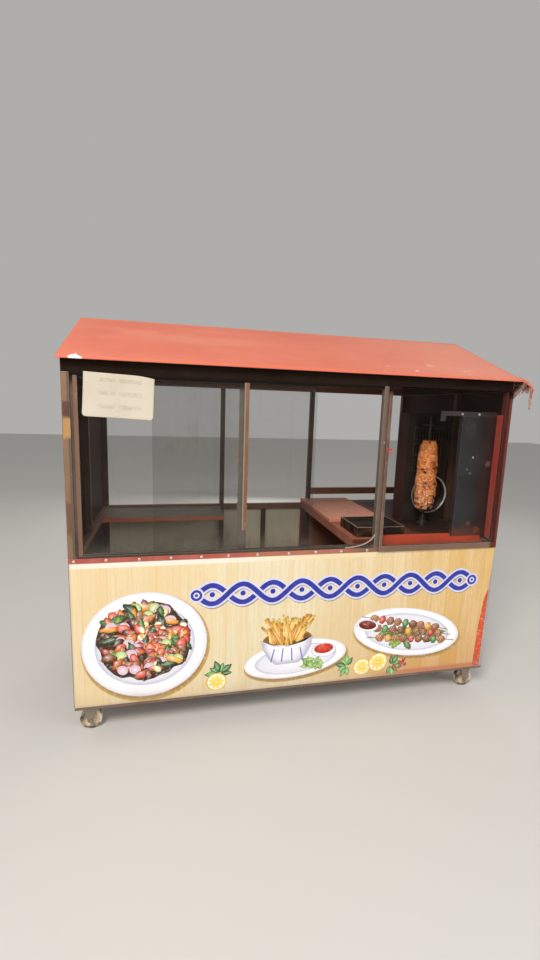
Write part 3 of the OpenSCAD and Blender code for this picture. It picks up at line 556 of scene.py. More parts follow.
def coverFinish():
    # the print's ground: upright boards, cream in the middle and golden to the right, with a white band on top
    b = Finish("coverPrint")
    x, z = b.axis("x"), b.axis("z")
    wide = 0.108
    count = b.num("DIVIDE", b.add(x, 1.2), wide)
    board = b.num("FLOOR", count)
    across = b.num("FRACT", count)
    tone = b.put("ShaderNodeTexWhiteNoise", {"W": board}, noise_dimensions="1D").outputs[0]
    shift = b.put("ShaderNodeCombineXYZ", {0: b.mul(x, 70.0), 1: b.mul(board, 3.7), 2: b.mul(z, 70.0)}).outputs[0]
    grain = b.group(woodGrain, vector=shift, rings=7.0)["Value"]
    grain2 = b.clouds(1.0, b.stretch((120.0, 1.0, 2.2)), detail=5.0, rough=0.65)
    side = b.add(x, b.mul(b.sub(b.clouds(2.0), 0.5), 0.5))
    gold = b.step(side, -0.15, 0.85)
    leftGold = b.step(side, -0.42, -0.68)
    low = b.mul(b.step(z, 0.55, 0.16), b.step(side, -0.2, 0.9))
    base = b.mix(gold, (0.73, 0.65, 0.46), (0.68, 0.46, 0.19))
    base = b.mix(b.mul(leftGold, 0.45), base, (0.76, 0.52, 0.25))
    base = b.mix(b.mul(low, 0.85), base, (0.6, 0.29, 0.08))
    base = b.mix(b.mul(b.sub(tone, 0.4), 0.4, clamp=True), base, (0.84, 0.77, 0.6))
    streak = b.add(b.mul(b.step(grain, 0.3, 0.85), 0.3), b.mul(b.step(grain2, 0.42, 0.72), 0.34))
    base = b.mix(streak, base, b.mix(gold, (0.66, 0.49, 0.22), (0.54, 0.28, 0.07)))
    drift = b.step(b.clouds(1.0, b.stretch((13.0, 1.0, 0.9)), detail=3.0, rough=0.6), 0.47, 0.66, 0.42)
    base = b.mix(drift, base, b.mix(gold, (0.7, 0.52, 0.25), (0.58, 0.33, 0.1)))
    seam = b.most(b.step(across, 0.05, 0.0), b.step(across, 0.95, 1.0))
    base = b.mix(b.mul(seam, 0.14), base, (0.5, 0.3, 0.1))
    lowEdge = b.mul(b.step(z, 0.19, 0.172), b.step(x, 0.3, 0.55))
    base = b.mix(lowEdge, base, (0.58, 0.16, 0.06))
    band = b.mul(b.step(z, 0.8305, 0.8325), b.step(x, 0.322, 0.312))
    base = b.mix(band, base, b.mix(b.step(x, -0.5, 0.1), (0.81, 0.735, 0.64), (0.75, 0.61, 0.37)))
    dirt = b.mul(b.step(b.add(z, b.mul(b.clouds(7.0, detail=6.0), 0.2)), 0.36, 0.2), 0.35)
    base = b.mix(dirt, base, dustTone)
    rims = b.most(b.step(x, -1.13, -1.139), b.step(z, 0.172, 0.158))
    base = b.mix(b.mul(rims, 0.3), base, (0.4, 0.3, 0.22))
    ripple = b.clouds(1.0, b.stretch((5.0, 1.0, 2.0)), detail=2.0)
    puckers = b.clouds(1.0, b.stretch((16.0, 1.0, 3.0)), detail=1.0)
    height = b.add(b.mul(ripple, 3.0), b.mul(b.mul(puckers, b.step(z, 0.7, 0.85)), 1.6))
    rough = b.add(0.3, b.mul(b.clouds(30.0), 0.2))
    return b.feed(colour=base, rough=rough, normal=b.bump(height, 0.35, 0.003), specular=0.45)


def glassFinish(name, clear, dusty, tone, low):
    # thin old glass: mostly see-through, with rain marks, specks, and a film that is thicker at its foot
    b = Finish(name)
    film = b.step(b.clouds(6.5, detail=9.0, rough=0.72, warp=0.3), 0.4, 0.85)
    rain = b.step(b.clouds(1.0, b.stretch((85.0, 85.0, 2.4)), detail=5.0, rough=0.6), 0.52, 0.74)
    specks = b.mul(b.step(b.cells(80.0), 0.2, 0.08), b.step(b.clouds(9.0), 0.45, 0.62))
    foot = b.step(b.add(b.axis("z"), b.mul(b.clouds(14.0, detail=5.0), -0.07)), low + 0.05, low - 0.04)
    mess = b.add(b.mul(film, 0.26), b.mul(rain, 0.2))
    mess = b.add(mess, b.add(b.mul(specks, 0.32), b.mul(foot, 0.55)), clamp=True)
    alpha = b.step(mess, 0.0, 1.0, dusty, clear)
    colour = b.mix(mess, tuple(0.2 * c for c in tone), tone)
    rough = b.add(0.03, b.mul(mess, 0.3))
    return b.feed(colour=colour, rough=rough, alpha=alpha, through=0.6, ior=1.45)


def boardFinish(name, light, dark, length, scale, dust, cuts):
    # wood with its fibres along X or Y
    b = Finish(name)
    turned = b.put("ShaderNodeSeparateXYZ", {0: b.stretch((scale, scale, scale))}).outputs
    order = (1, 2, 0) if length == "x" else (0, 2, 1)
    fibre = b.put("ShaderNodeCombineXYZ", {i: turned[o] for i, o in enumerate(order)}).outputs[0]
    grain = b.group(woodGrain, vector=fibre, rings=8.0)
    colour = b.mix(b.step(grain["Value"], 0.15, 0.85), light, dark)
    stain = b.step(b.clouds(5.0, detail=5.0), 0.45, 0.7, 0.5)
    colour = b.mix(stain, colour, tuple(0.45 * c for c in dark))
    cut = b.group(scuffLines, amount=cuts)["Mask"]
    colour = b.mix(cut, colour, tuple(min(1.0, 1.35 * c) for c in light))
    edges = b.group(edgeWear, radius=0.003, amount=0.5)
    colour = b.mix(edges["Mask"], colour, tuple(min(1.0, 1.25 * c) for c in light))
    colour = b.mix(b.group(settledDust, amount=dust)["Mask"], colour, dustTone)
    height = b.sub(grain["Height"], b.mul(cut, 1.2))
    return b.feed(
        colour=colour, rough=b.add(0.5, b.mul(stain, -0.25)), normal=b.bump(height, 0.4, 0.0006, edges["Normal"]))


def griddleFinish():
    b = Finish("griddleIron")
    z = b.axis("z")
    colour = b.group(paintClouds, paint=(0.008, 0.006, 0.005), faded=(0.022, 0.013, 0.009), scale=9.0)["Colour"]
    grease = b.step(b.clouds(7.0, detail=6.0, warp=1.0), 0.5, 0.66)
    colour = b.mix(b.mul(grease, 0.6), colour, (0.1, 0.045, 0.018))
    lip = b.step(z, 0.9475, 0.9495)
    edges = b.group(edgeWear, radius=0.002, amount=0.9)
    bright = b.most(b.mul(lip, 0.7), edges["Mask"])
    colour = b.mix(bright, colour, (0.3, 0.24, 0.17))
    rough = b.sub(0.6, b.mul(grease, 0.25))
    return b.feed(
        colour=colour, rough=rough, metal=0.0, specular=0.12,
        normal=b.bump(b.clouds(160.0, detail=4.0), 0.35, 0.0006, edges["Normal"]))


def panFinish():
    # thin bright rim, sooty dish
    b = Finish("panSteel")
    away = b.stretch((1.0, 0.0, 1.0), move=(-0.8605, 0.0, -1.066))
    radius = b.length(away)
    rim = b.step(b.add(radius, b.mul(b.clouds(30.0), 0.004)), 0.1115, 0.1145)
    turns = b.put(
        "ShaderNodeTexWave", {"Vector": away, "Scale": 90.0, "Distortion": 1.0}, wave_type="RINGS",
        rings_direction="Y").outputs[1]
    burnt = b.step(b.clouds(13.0, detail=6.0), 0.35, 0.7)
    dish = b.mix(burnt, (0.02, 0.017, 0.015), (0.085, 0.06, 0.045))
    colour = b.mix(rim, dish, (0.82, 0.78, 0.7))
    colour = b.mix(b.mul(rim, b.step(b.clouds(20.0), 0.54, 0.66, 0.8)), colour, (0.2, 0.15, 0.11))
    return b.feed(
        colour=colour, rough=b.step(rim, 0.0, 1.0, 0.3, 0.42), metal=b.step(rim, 0.0, 1.0, 0.2, 0.75),
        normal=b.bump(turns, 0.15, 0.0004))


def tyreFinish(name, x, y):
    # black rubber tread round a dusty steel hub, centred on this wheel's axle
    b = Finish(name)
    spot = b.stretch((1.0, 1.0, 1.0), move=(-x, -y, -0.05))
    radius = b.length(b.stretch((1.0, 0.0, 1.0), spot))
    rubber = b.step(radius, 0.0362, 0.0372)
    hub = b.group(paintClouds, paint=(0.34, 0.28, 0.22), faded=(0.5, 0.42, 0.33), scale=30.0)["Colour"]
    tread = b.group(paintClouds, paint=(0.022, 0.02, 0.019), faded=(0.05, 0.043, 0.037), scale=24.0)["Colour"]
    colour = b.mix(rubber, hub, tread)
    mud = b.step(b.clouds(26.0, spot, detail=6.0), 0.36, 0.66)
    rolled = b.step(radius, 0.047, 0.0495, 0.5)
    cover = b.add(b.mul(mud, 0.85), b.mul(rolled, mud), clamp=True)
    colour = b.mix(cover, colour, (0.86, 0.67, 0.5))
    metal = b.mul(b.sub(1.0, rubber), b.sub(0.6, b.mul(cover, 0.6)), clamp=True)
    return b.feed(
        colour=colour, rough=b.add(0.55, b.mul(cover, 0.3)), metal=metal,
        normal=b.bump(b.clouds(130.0, spot, detail=4.0), 0.4, 0.0006))


roofFinish()
coverFinish()
glassFinish("sashGlass", 0.14, 0.55, (0.22, 0.19, 0.15), 0.89)
glassFinish("grillGlass", 0.06, 0.4, (0.16, 0.1, 0.075), 0.87)
boardFinish("deckWood", (0.5, 0.39, 0.27), (0.33, 0.23, 0.15), "x", 22.0, 0.4, 0.3)
boardFinish("choppingWood", (0.7, 0.28, 0.17), (0.52, 0.18, 0.11), "y", 60.0, 0.1, 0.9)
boardFinish("strutWood", (0.2, 0.118, 0.095), (0.1, 0.052, 0.042), "x", 50.0, 0.3, 0.2)
griddleFinish()
panFinish()
wheelPlaces = {
    "front_left": (-1.0815, -0.48), "front_right": (0.9585, -0.48), "back_left": (-1.0815, 0.48),
    "back_right": (0.9585, 0.48)}
for corner, (x, y) in wheelPlaces.items():
    tyreFinish("tyre_" + corner, x, y)

nodeFinish = {
    "basePaint": "base_rails base_cross",
    "deckWood": "floor_deck",
    "castorSteel": "castor_forks",
    "frontPostPaint": "front_posts",
    "postPaint": "back_posts side_studs",
    "railPaint": "front_rails",
    "sideRailPaint": "side_rails back_rails",
    "panelSteel": "front_panel",
    "coverPrint": "printed_cover",
    "trimPaint": "sill_trim",
    "wallPaint": "left_wall_sheets",
    "grillWallPaint": "right_wall_sheets",
    "backPaint": "back_sheets",
    "sashSteel": "sash_frame",
    "sashGlass": "sash_glass",
    "battenPaint": "window_battens",
    "trackSteel": "window_tracks",
    "grillFramePaint": "grill_window_frame",
    "grillGlass": "grill_window_glass",
    "roofPaint": "front_roof_sheet back_roof_sheet gable_sheets",
    "rafterPaint": "rafters ridge_bar",
    "counterPaint": "work_counter counter_frame",
    "choppingWood": "cutting_board",
    "griddleIron": "griddle",
    "shelfPaint": "left_shelf",
    "heatSheet": "heat_plate",
    "burnerIron": "burner_box",
    "guardSteel": "fire_guards",
    "spitSteel": "spit_arm spit_foot spit_rod",
    "panSteel": "round_pan",
    "strutWood": "awning_frame",
}
nodeFinish.update({"tyre_" + corner: "wheel_" + corner for corner in wheelPlaces})
for finish, names in nodeFinish.items():
    for name in names.split():
        nodes[name].data.materials.clear()
        nodes[name].data.materials.append(finishes[finish])
print("finishes on", len(nodes), "nodes")

# helpers for pieces


def hue(code):
    # a colour written as six hex digits, in linear values
    parts = [int(code[i:i + 2], 16) / 255 for i in (0, 2, 4)]
    return tuple(c / 12.92 if c <= 0.04045 else ((c + 0.055) / 1.055) ** 2.4 for c in parts)


def meshPiece(name, points, faces, finish, smooth=False):
    mesh = bpy.data.meshes.new(name)
    mesh.from_pydata([tuple(p) for p in points], [], faces)
    mesh.update()
    piece = bpy.data.objects.new(name, mesh)
    scene.collection.objects.link(piece)
    mesh.materials.append(finish)
    if smooth:
        mesh.polygons.foreach_set("use_smooth", [True] * len(mesh.polygons))
    return piece


def settle(piece):
    # applies every modifier, so that the piece is a plain mesh
    graph = bpy.context.evaluated_depsgraph_get()
    made = bpy.data.meshes.new_from_object(piece.evaluated_get(graph))
    piece.modifiers.clear()
    piece.data = made
    return piece


def thickened(piece, thickness, offset=0):
    wall = piece.modifiers.new("wall", "SOLIDIFY")
    wall.thickness = thickness
    wall.offset = offset
    return settle(piece)


def unrolled(piece, name, spots):
    # a UV map that gives every point its place on the flat sheet
    layer = piece.data.uv_layers.new(name=name)
    for loop in piece.data.loops:
        layer.data[loop.index].uv = spots[loop.vertex_index]


def reworked(piece, work):
    bm = bmesh.new()
    bm.from_mesh(piece.data)
    work(bm)
    bm.to_mesh(piece.data)
    bm.free()
    return piece


def inked(piece, name, tints):
    layer = piece.data.color_attributes.new(name, "FLOAT_COLOR", "POINT")
    layer.data.foreach_set("color", [c for tint in tints for c in (*tint, 1.0)])


def gridFaces(rows, columns, loop=False, skip=()):
    faces = []
    for r in range(rows - 1):
        for c in range(columns if loop else columns - 1):
            if (r, c) not in skip:
                d = (c + 1) % columns
                faces.append((r * columns + c, r * columns + d, (r + 1) * columns + d, (r + 1) * columns + c))
    return faces


class Grower(Board):
    # a Geometry Nodes tree with named inputs, given as "Float: Width, Height; Material: Finish"
    def __init__(self, name, takes):
        super().__init__(bpy.data.node_groups.new(name, "GeometryNodeTree"))
        self.tree.interface.new_socket("Geometry", in_out="INPUT", socket_type="NodeSocketGeometry")
        for part in takes.split("; "):
            kind, titles = part.split(": ")
            for title in titles.split(", "):
                self.tree.interface.new_socket(title, in_out="INPUT", socket_type="NodeSocket" + kind)
        self.tree.interface.new_socket("Geometry", in_out="OUTPUT", socket_type="NodeSocketGeometry")
        self.given = self.put("NodeGroupInput").outputs

    def make(self, kind, sockets=None, **settings):
        return self.put("GeometryNode" + kind, sockets, **settings).outputs[0]

    def vector(self, x=0.0, y=0.0, z=0.0):
        return self.put("ShaderNodeCombineXYZ", {0: x, 1: y, 2: z}).outputs[0]

    def random(self, low, high, seed):
        node = self.put("FunctionNodeRandomValue", data_type="FLOAT")
        for socket, value in ((node.inputs[2], low), (node.inputs[3], high), (node.inputs[8], seed)):
            socket.default_value = value
        return node.outputs[1]

    def join(self, *parts):
        node = self.put("GeometryNodeJoinGeometry")
        for part in parts:
            self.tree.links.new(part, node.inputs[0])
        return node.outputs[0]

    def painted(self, geometry, material):
        return self.make("SetMaterial", {"Geometry": geometry, "Material": material})

    def moved(self, geometry, **how):
        return self.make("Transform", {"Geometry": geometry, **{key.title(): value for key, value in how.items()}})

    def placed(self, geometry, height):
        i = self.given
        return self.moved(
            geometry, translation=self.vector(i["X"], i["Y"], i[height]), rotation=self.vector(0.0, 0.0, i["Turn"]))

    def scattered(self, points, wander, wild, seeds):
        # points that wander a little along X and Z
        shift = [self.mul(self.random(-w, w, seed), wander) for w, seed in zip(wild, seeds)]
        return self.make("SetPosition", {"Geometry": points, "Offset": self.vector(shift[0], 0.0, shift[1])})

    def finish(self, geometry):
        real = self.make("RealizeInstances", {0: geometry})
        self.tree.links.new(real, self.put("NodeGroupOutput").inputs[0])
        return self.tree


def grown(name, tree, values, base=None):
    # the value for the input "Head Radius" is under "headRadius"
    piece = base or meshPiece(name, [], [], None)
    piece.name = name
    modifier = piece.modifiers.new("grow", "NODES")
    modifier.node_group = tree
    for item in tree.interface.items_tree:
        key = item.name[0].lower() + item.name[1:].replace(" ", "")
        if item.in_out == "INPUT" and key in values:
            modifier[item.identifier] = values[key]
    return settle(piece)


# trim screws, the heat plate's screws, and rivets round the wall sheets

screws = {"count": 11, "pitch": 0.1395, "x": -1.1285, "y": -0.5536, "height": 0.8655, "turn": 0.0,
          "headRadius": 0.0046, "headHeight": 0.0024, "wander": 0.011}
plateScrews = {**screws, "count": 2, "pitch": 0.102, "x": 0.8, "y": -0.4646, "height": 1.5625, "wander": 0.0}
rivets = {"pitch": 0.121, "inset": 0.016, "radius": 0.0044, "rise": 0.0017, "wander": 0.0025}
upright = (math.pi / 2, 0.0, 0.0)


def screwTree():
    g = Grower(
        "panHeadScrews",
        "Int: Count; Float: Pitch, X, Y, Height, Turn, Head Radius, Head Height, Wander; "
        "Material: Finish, Slot Finish")
    i = g.given
    line = g.make("MeshLine", {"Count": i["Count"], "Offset": g.vector(i["Pitch"])})
    points = g.scattered(line, i["Wander"], (1.0, 0.15), (3, 5))
    dome = g.make("MeshUVSphere", {"Segments": 14, "Rings": 8, "Radius": i["Head Radius"]})
    head = g.moved(dome, scale=g.vector(1.0, 1.0, g.num("DIVIDE", i["Head Height"], i["Head Radius"])))
    washer = g.make("MeshCylinder", {"Vertices": 18, "Radius": g.mul(i["Head Radius"], 1.35), "Depth": 0.0012})
    # two crossed bars on the head read as its slot
    long, wide, flat = g.mul(i["Head Radius"], 1.15), 0.0011, 0.0006
    lift = g.vector(0.0, 0.0, g.sub(i["Head Height"], 0.00012))
    bars = [
        g.moved(
            g.make("MeshCube", {"Size": g.vector(*size, flat)}),
            translation=lift) for size in ((long, wide), (wide, long))]
    screw = g.moved(
        g.join(g.painted(g.join(head, washer), i["Finish"]), g.painted(g.join(*bars), i["Slot Finish"])),
        rotation=upright)
    spin = g.vector(0.0, g.random(0.0, 1.57, 9), 0.0)
    return g.finish(
        g.placed(g.make("InstanceOnPoints", {"Points": points, "Instance": screw, "Rotation": spin}), "Height"))


screwLook = {
    "finish": paintedSteel(
        "screwSteel", (0.78, 0.77, 0.75), (0.6, 0.58, 0.55), rough=0.3, wear=0.2, chips=0.25, chipScale=120.0,
        dust=0.1, metal=0.4),
    "slotFinish": paintedSteel("screwSlot", (0.05, 0.045, 0.04), (0.09, 0.08, 0.07), rough=0.6, wear=0.1, dust=0.2)}
screwMaker = screwTree()
for name, row in (("trimScrews", screws), ("heatPlateScrews", plateScrews)):
    made = grown(name, screwMaker, {**row, **screwLook})
    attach(made, "kiosk")


def rivetTree():
    g = Grower("rivetedEdge", "Float: Width, Height, Pitch, Radius, Rise, Wander, X, Y, Z, Turn; Material: Finish")
    i = g.given
    edge = g.moved(
        g.make("CurvePrimitiveQuadrilateral", {"Width": i["Width"], "Height": i["Height"]}), rotation=upright)
    spots = g.make("ResampleCurve", {"Curve": edge, "Length": i["Pitch"]}, mode="LENGTH")
    spots = g.scattered(spots, i["Wander"], (1.0, 1.0), (21, 22))
    ball = g.make("MeshUVSphere", {"Segments": 12, "Rings": 8, "Radius": i["Radius"]})
    dome = g.moved(ball, scale=g.vector(1.0, g.num("DIVIDE", i["Rise"], i["Radius"]), 1.0))
    heads = g.make("InstanceOnPoints", {"Points": spots, "Instance": dome})
    return g.finish(g.painted(g.placed(heads, "Z"), i["Finish"]))


# each sheet: the corners it spans along the wall, its height span, the wall's face and the way the wall looks
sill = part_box("sill_trim")
wallLow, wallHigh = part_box("left_wall_sheets")
backLow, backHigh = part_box("back_sheets")
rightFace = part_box("right_wall_sheets")[1][0]
seamHeight = sill[1][2] - 0.001
backSeams = [backLow[0], -0.3515, 0.2885, backHigh[0]]
sheets = {}
for side, face, turn in (("left", wallLow[0], -math.pi / 2), ("right", rightFace, math.pi / 2)):
    for level, low, high in (("Low", wallLow[2], seamHeight), ("High", seamHeight, wallHigh[2])):
        sheets[side + level] = (wallLow[1], wallHigh[1], low, high, face, turn, "wallPaint")
for k in range(3):
    sheets["back" + str(k + 1)] = (
        backSeams[k], backSeams[k + 1], backLow[2], backHigh[2], backHigh[1], math.pi, "backPaint")
rivetMaker = rivetTree()
for sheet, (start, end, low, high, face, turn, finish) in sheets.items():
    middle = (start + end) / 2
    across = finish == "backPaint"
    made = grown(
        sheet + "Rivets", rivetMaker,
        {
            **rivets, "width": end - start - 2 * rivets["inset"], "height": high - low - 2 * rivets["inset"],
            "turn": turn, "x": middle if across else face, "y": face if across else middle, "z": (low + high) / 2,
            "finish": finishes[finish]})
    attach(made, "kiosk")
print("screws and rivets set:", 2 + len(sheets), "rows")

# the picture on the cover: a salad plate, a platter of skewers, a bowl of chips, lemons and mint

# each shape lies a lift in front of the last
cover = {"face": -0.55403, "left": -1.1388, "low": 0.158, "lift": 0.000004}
salad = {
    "middle": (-0.818, 0.445), "plate": (0.285, 0.262), "heap": (0.212, 0.194), "spread": 0.19, "morsels": 190,
    "seed": 4}
platter = {
    "middle": (0.535, 0.4), "plate": (0.315, 0.135), "tilt": -0.16, "rows": 3, "bites": 9, "leaves": 26, "seed": 8}
chips = {"middle": (-0.1, 0.36), "plate": (0.27, 0.1), "chips": 64, "sprinkle": 16, "seed": 15}
garnish = {"berries": 7, "seed": 16, "bits": [
    ("sprig", 0.2, 0.235, 0.1, 2.9), ("slice", 0.285, 0.222, 0.05, 0.2), ("slice", 0.375, 0.24, 0.056, 0.5),
    ("sprig", 0.455, 0.215, 0.1, -0.2), ("sprig", -0.47, 0.262, 0.11, 1.9), ("slice", -0.485, 0.22, 0.05, 0.1)]}


class Picture:
    # flat printed shapes, each a little in front of the last, with their colours in an attribute
    def __init__(self):
        self.points, self.faces, self.tints, self.layer = [], [], [], 0

    def shape(self, outline, tones, shift=(0.0, 0.0), inner=0.7):
        # tones of its edge, its inner ring and its middle
        edge, middle, glow = map(hue, tones.split()) if isinstance(tones, str) else tones
        start, n = len(self.points), len(outline)
        y = cover["face"] - self.layer * cover["lift"]
        self.layer += 1
        cx, cz = sum(p[0] for p in outline) / n, sum(p[1] for p in outline) / n
        span = max(abs(p[0] - cx) + abs(p[1] - cz) for p in outline)
        hx, hz = cx + shift[0] * span, cz + shift[1] * span
        for share, tone in ((1.0, edge), (inner, middle)):
            for x, z in outline:
                x, z = hx * (1 - share) + x * share, hz * (1 - share) + z * share
                self.points.append((max(cover["left"], x), y, max(cover["low"], z)))
                self.tints.append(tone)
        self.points.append((max(cover["left"], hx), y, max(cover["low"], hz)))
        self.tints.append(glow)
        for i in range(n):
            j = (i + 1) % n
            self.faces.append((start + i, start + j, start + n + j, start + n + i))
            self.faces.append((start + n + i, start + n + j, start + 2 * n))

    def piece(self, name, finish):
        made = meshPiece(name, self.points, self.faces, finish)
        inked(made, "ink", self.tints)

        def forward(bm):
            bmesh.ops.dissolve_degenerate(bm, edges=bm.edges, dist=1e-7)
            for face in bm.faces:
                face.normal_update()
                if face.normal.y > 0:
                    face.normal_flip()

        return reworked(made, forward)


def turned(points, cx, cz, tilt):
    c, s = math.cos(tilt), math.sin(tilt)
    return [(cx + x * c - z * s, cz + x * s + z * c) for x, z in points]


def oval(cx, cz, rx, rz, tilt=0.0, n=24, rough=0.0, dice=None):
    ring = []
    for i in range(n):
        a = math.tau * i / n
        k = 1 + (dice.uniform(-rough, rough) if dice else 0.0)
        ring.append((rx * k * math.cos(a), rz * k * math.sin(a)))
    return turned(ring, cx, cz, tilt)


def leaf(cx, cz, length, width, tilt, n=9, tooth=0.0):
    side = []
    for i in range(n):
        t = i / (n - 1)
        w = width * math.sin(math.pi * t ** 0.8) * (1 + (tooth if i % 2 else -tooth))
        side.append((length * (t - 0.5), w / 2))
    return turned(side + [(x, -z) for x, z in side[-2:0:-1]], cx, cz, tilt)


def stick(cx, cz, length, width, tilt):
    half, w = length / 2, width / 2
    return turned(
        [
            (-half, -w), (0, -w * 1.04), (half, -w), (half + w * 0.5, 0), (half, w), (0, w * 1.04), (-half, w),
            (-half - w * 0.5, 0)],
        cx, cz, tilt)


def paler(tone, *shares):
    return [tuple(c + (1 - c) * share for c in tone) for share in shares]


def lit(tone, dark, pale):
    # a darker edge and a paler middle
    return [tuple(c * dark for c in tone), tone, *paler(tone, pale)]


def plate(p, cx, cz, rx, rz, tilt=0.0):
    p.shape(oval(cx + 0.006, cz - 0.014, rx * 1.03, rz * 1.05, tilt, 48), "c9a560 a98648 97763f", inner=0.94)
    p.shape(oval(cx, cz, rx, rz, tilt, 48), "dcdce8 f4f3f8 fbfafc", (-0.1, 0.1), 0.93)
    p.shape(oval(cx, cz, rx * 0.8, rz * 0.78, tilt, 48), "c3c4d6 e3e3ee f3f3f8", (0.05, -0.06), 0.9)


foods = {
    "leaf": {"share": 0.1, "tones": ["2f5a22", "4a7a2c", "6f9c3c", "23451d"], "long": (0.07, 0.11), "flat": 0.4},
    "tomato": {"share": 0.2, "tones": ["c8321c", "d9482a", "b3241a", "e0633a"], "long": (0.05, 0.075), "flat": 0.64},
    "pepper": {"share": 0.22, "tones": ["e89a22", "f0b43a", "dd7d1c", "c96a18"], "long": (0.06, 0.09), "flat": 0.36},
    "roast": {"share": 0.24, "tones": ["6b3318", "4a2213", "87461f", "a35d2c"], "long": (0.045, 0.075), "flat": 0.6},
    "cheese": {"share": 0.1, "tones": ["f3e6bc", "efdca0", "f7efd2"], "long": (0.035, 0.05), "flat": 0.7},
    "cucumber": {"share": 0.06, "tones": ["b9d08a"], "long": (0.05, 0.058), "flat": 0.95},
    "onion": {"share": 0.06, "tones": ["e6d3de"], "long": (0.05, 0.066), "flat": 0.9},
}


def morsel(p, dice, x, z, kind):
    # one piece of food with its shadow, body and a lit spot
    food = foods[kind]
    tone = hue(dice.choice(food["tones"]))
    long = dice.uniform(*food["long"])
    wide = long * food["flat"]
    tilt = dice.uniform(0, math.tau)
    if kind == "leaf":
        outline = leaf(x, z, long, wide, tilt, 13, 0.14)
    else:
        outline = oval(x, z, long / 2, wide / 2, tilt, 18, 0.0 if kind in ("cucumber", "onion") else 0.1, dice)
    p.shape([(px + 0.003, pz - 0.005) for px, pz in outline], "2a1a0e 2a1a0e 2a1a0e")
    if kind == "cucumber":
        p.shape(outline, (hue("4c6d2a"), tone, hue("e6efc4")), inner=0.86)
        for a in (tilt + k * math.tau / 6 for k in range(6)):
            p.shape(
                leaf(x + long * 0.2 * math.cos(a), z + long * 0.19 * math.sin(a), long * 0.17, long * 0.06, a, 5),
                "9db86c dfe8b4 eef3cf")
    elif kind == "onion":
        for share in (1.0, 0.72, 0.44):
            ring = [(x + (px - x) * share, z + (pz - z) * share) for px, pz in outline]
            p.shape(ring, (hue("94486c"), tone, hue("f6edf2")), inner=0.86)
    elif kind == "leaf":
        p.shape(outline, lit(tone, 0.5, 0.25), (0.0, 0.1))
        p.shape(leaf(x, z, long * 0.75, 0.004, tilt, 5), paler(tone, 0.3, 0.38, 0.38))
    else:
        p.shape(outline, lit(tone, 0.42, 0.35), (-0.15, 0.25), 0.76)
        p.shape(oval(x - long * 0.1, z + long * 0.1, long * 0.14, long * 0.06, tilt, 10), paler(tone, 0.3, 0.5, 0.65))


def saladPlate(dice):
    p = Picture()
    cx, cz = salad["middle"]
    plate(p, cx, cz, *salad["plate"])
    p.shape(oval(cx - 0.002, cz + 0.018, *salad["heap"], 0, 36, 0.06, dice), "3b2a12 4a3218 2f2010", inner=0.8)
    spots = []
    for _ in range(salad["morsels"]):
        a, r = dice.uniform(0, math.tau), math.sqrt(dice.random()) * salad["spread"]
        spots.append((cx + r * math.cos(a) - 0.002, cz + 0.024 + r * 0.92 * math.sin(a)))
    kinds = list(foods)
    for x, z in sorted(spots, key=lambda s: -s[1]):
        morsel(p, dice, x, z, dice.choices(kinds, [foods[k]["share"] for k in kinds])[0])
    return p


def skewerPlatter(dice):
    p = Picture()
    cx, cz = platter["middle"]
    tilt = platter["tilt"]
    plate(p, cx, cz, *platter["plate"], tilt)
    for _ in range(platter["leaves"]):
        a = dice.uniform(0, math.tau)
        x, z = cx + 0.2 * math.cos(a) * dice.random(), cz - 0.02 + 0.075 * math.sin(a) * dice.random()
        tone = hue(dice.choice(["6c9a3c", "8db552", "4d7a2c"]))
        p.shape(leaf(x, z, 0.08, 0.035, dice.uniform(0, math.tau), 11, 0.16), lit(tone, 0.6, 0.3))
    for row in range(platter["rows"]):
        ox, oz = -0.015 + 0.02 * row, 0.052 - 0.046 * row
        lean = tilt + 0.05 * (row - 1)
        c, s = math.cos(lean), math.sin(lean)
        p.shape(stick(cx + ox, cz + oz, 0.52, 0.005, lean), "7d5a2c d9b878 efd9a4")
        for k in range(platter["bites"]):
            t = -0.185 + k * 0.046
            x, z = cx + ox + t * c, cz + oz + t * s
            if k % 3 == 1:
                tone = hue(("c9301c", "4f8a2b", "e2a426")[(k // 3 + row) % 3])
                p.shape(
                    stick(x, z, 0.02, 0.044, lean + dice.uniform(-0.15, 0.15)), lit(tone, 0.45, 0.4), (-0.2, 0.25))
            else:
                tone = hue(dice.choice(["a8622a", "b8733a", "8d4c20", "c98646"]))
                p.shape(oval(x, z, 0.0245, 0.0225, lean, 13, 0.13, dice), lit(tone, 0.3, 0.35), (-0.15, 0.3), 0.75)
                for m in (-0.008, 0.003, 0.012):
                    p.shape(stick(x + m, z - m * 0.2, 0.026, 0.0034, lean + 1.2), "3a1a0d 4d2513 5c2e18")
    p.shape(oval(cx - 0.235, cz + 0.055, 0.062, 0.034, tilt, 26), "b9b9c9 f2f2f7 ffffff", (0, 0), 0.9)
    p.shape(oval(cx - 0.235, cz + 0.058, 0.05, 0.025, tilt, 24), "3d0b0c 6d1414 962a22", (-0.2, 0.2), 0.82)
    p.shape(oval(cx - 0.25, cz + 0.064, 0.014, 0.004, tilt, 12), "a8443a c97a6a dca090")
    return p


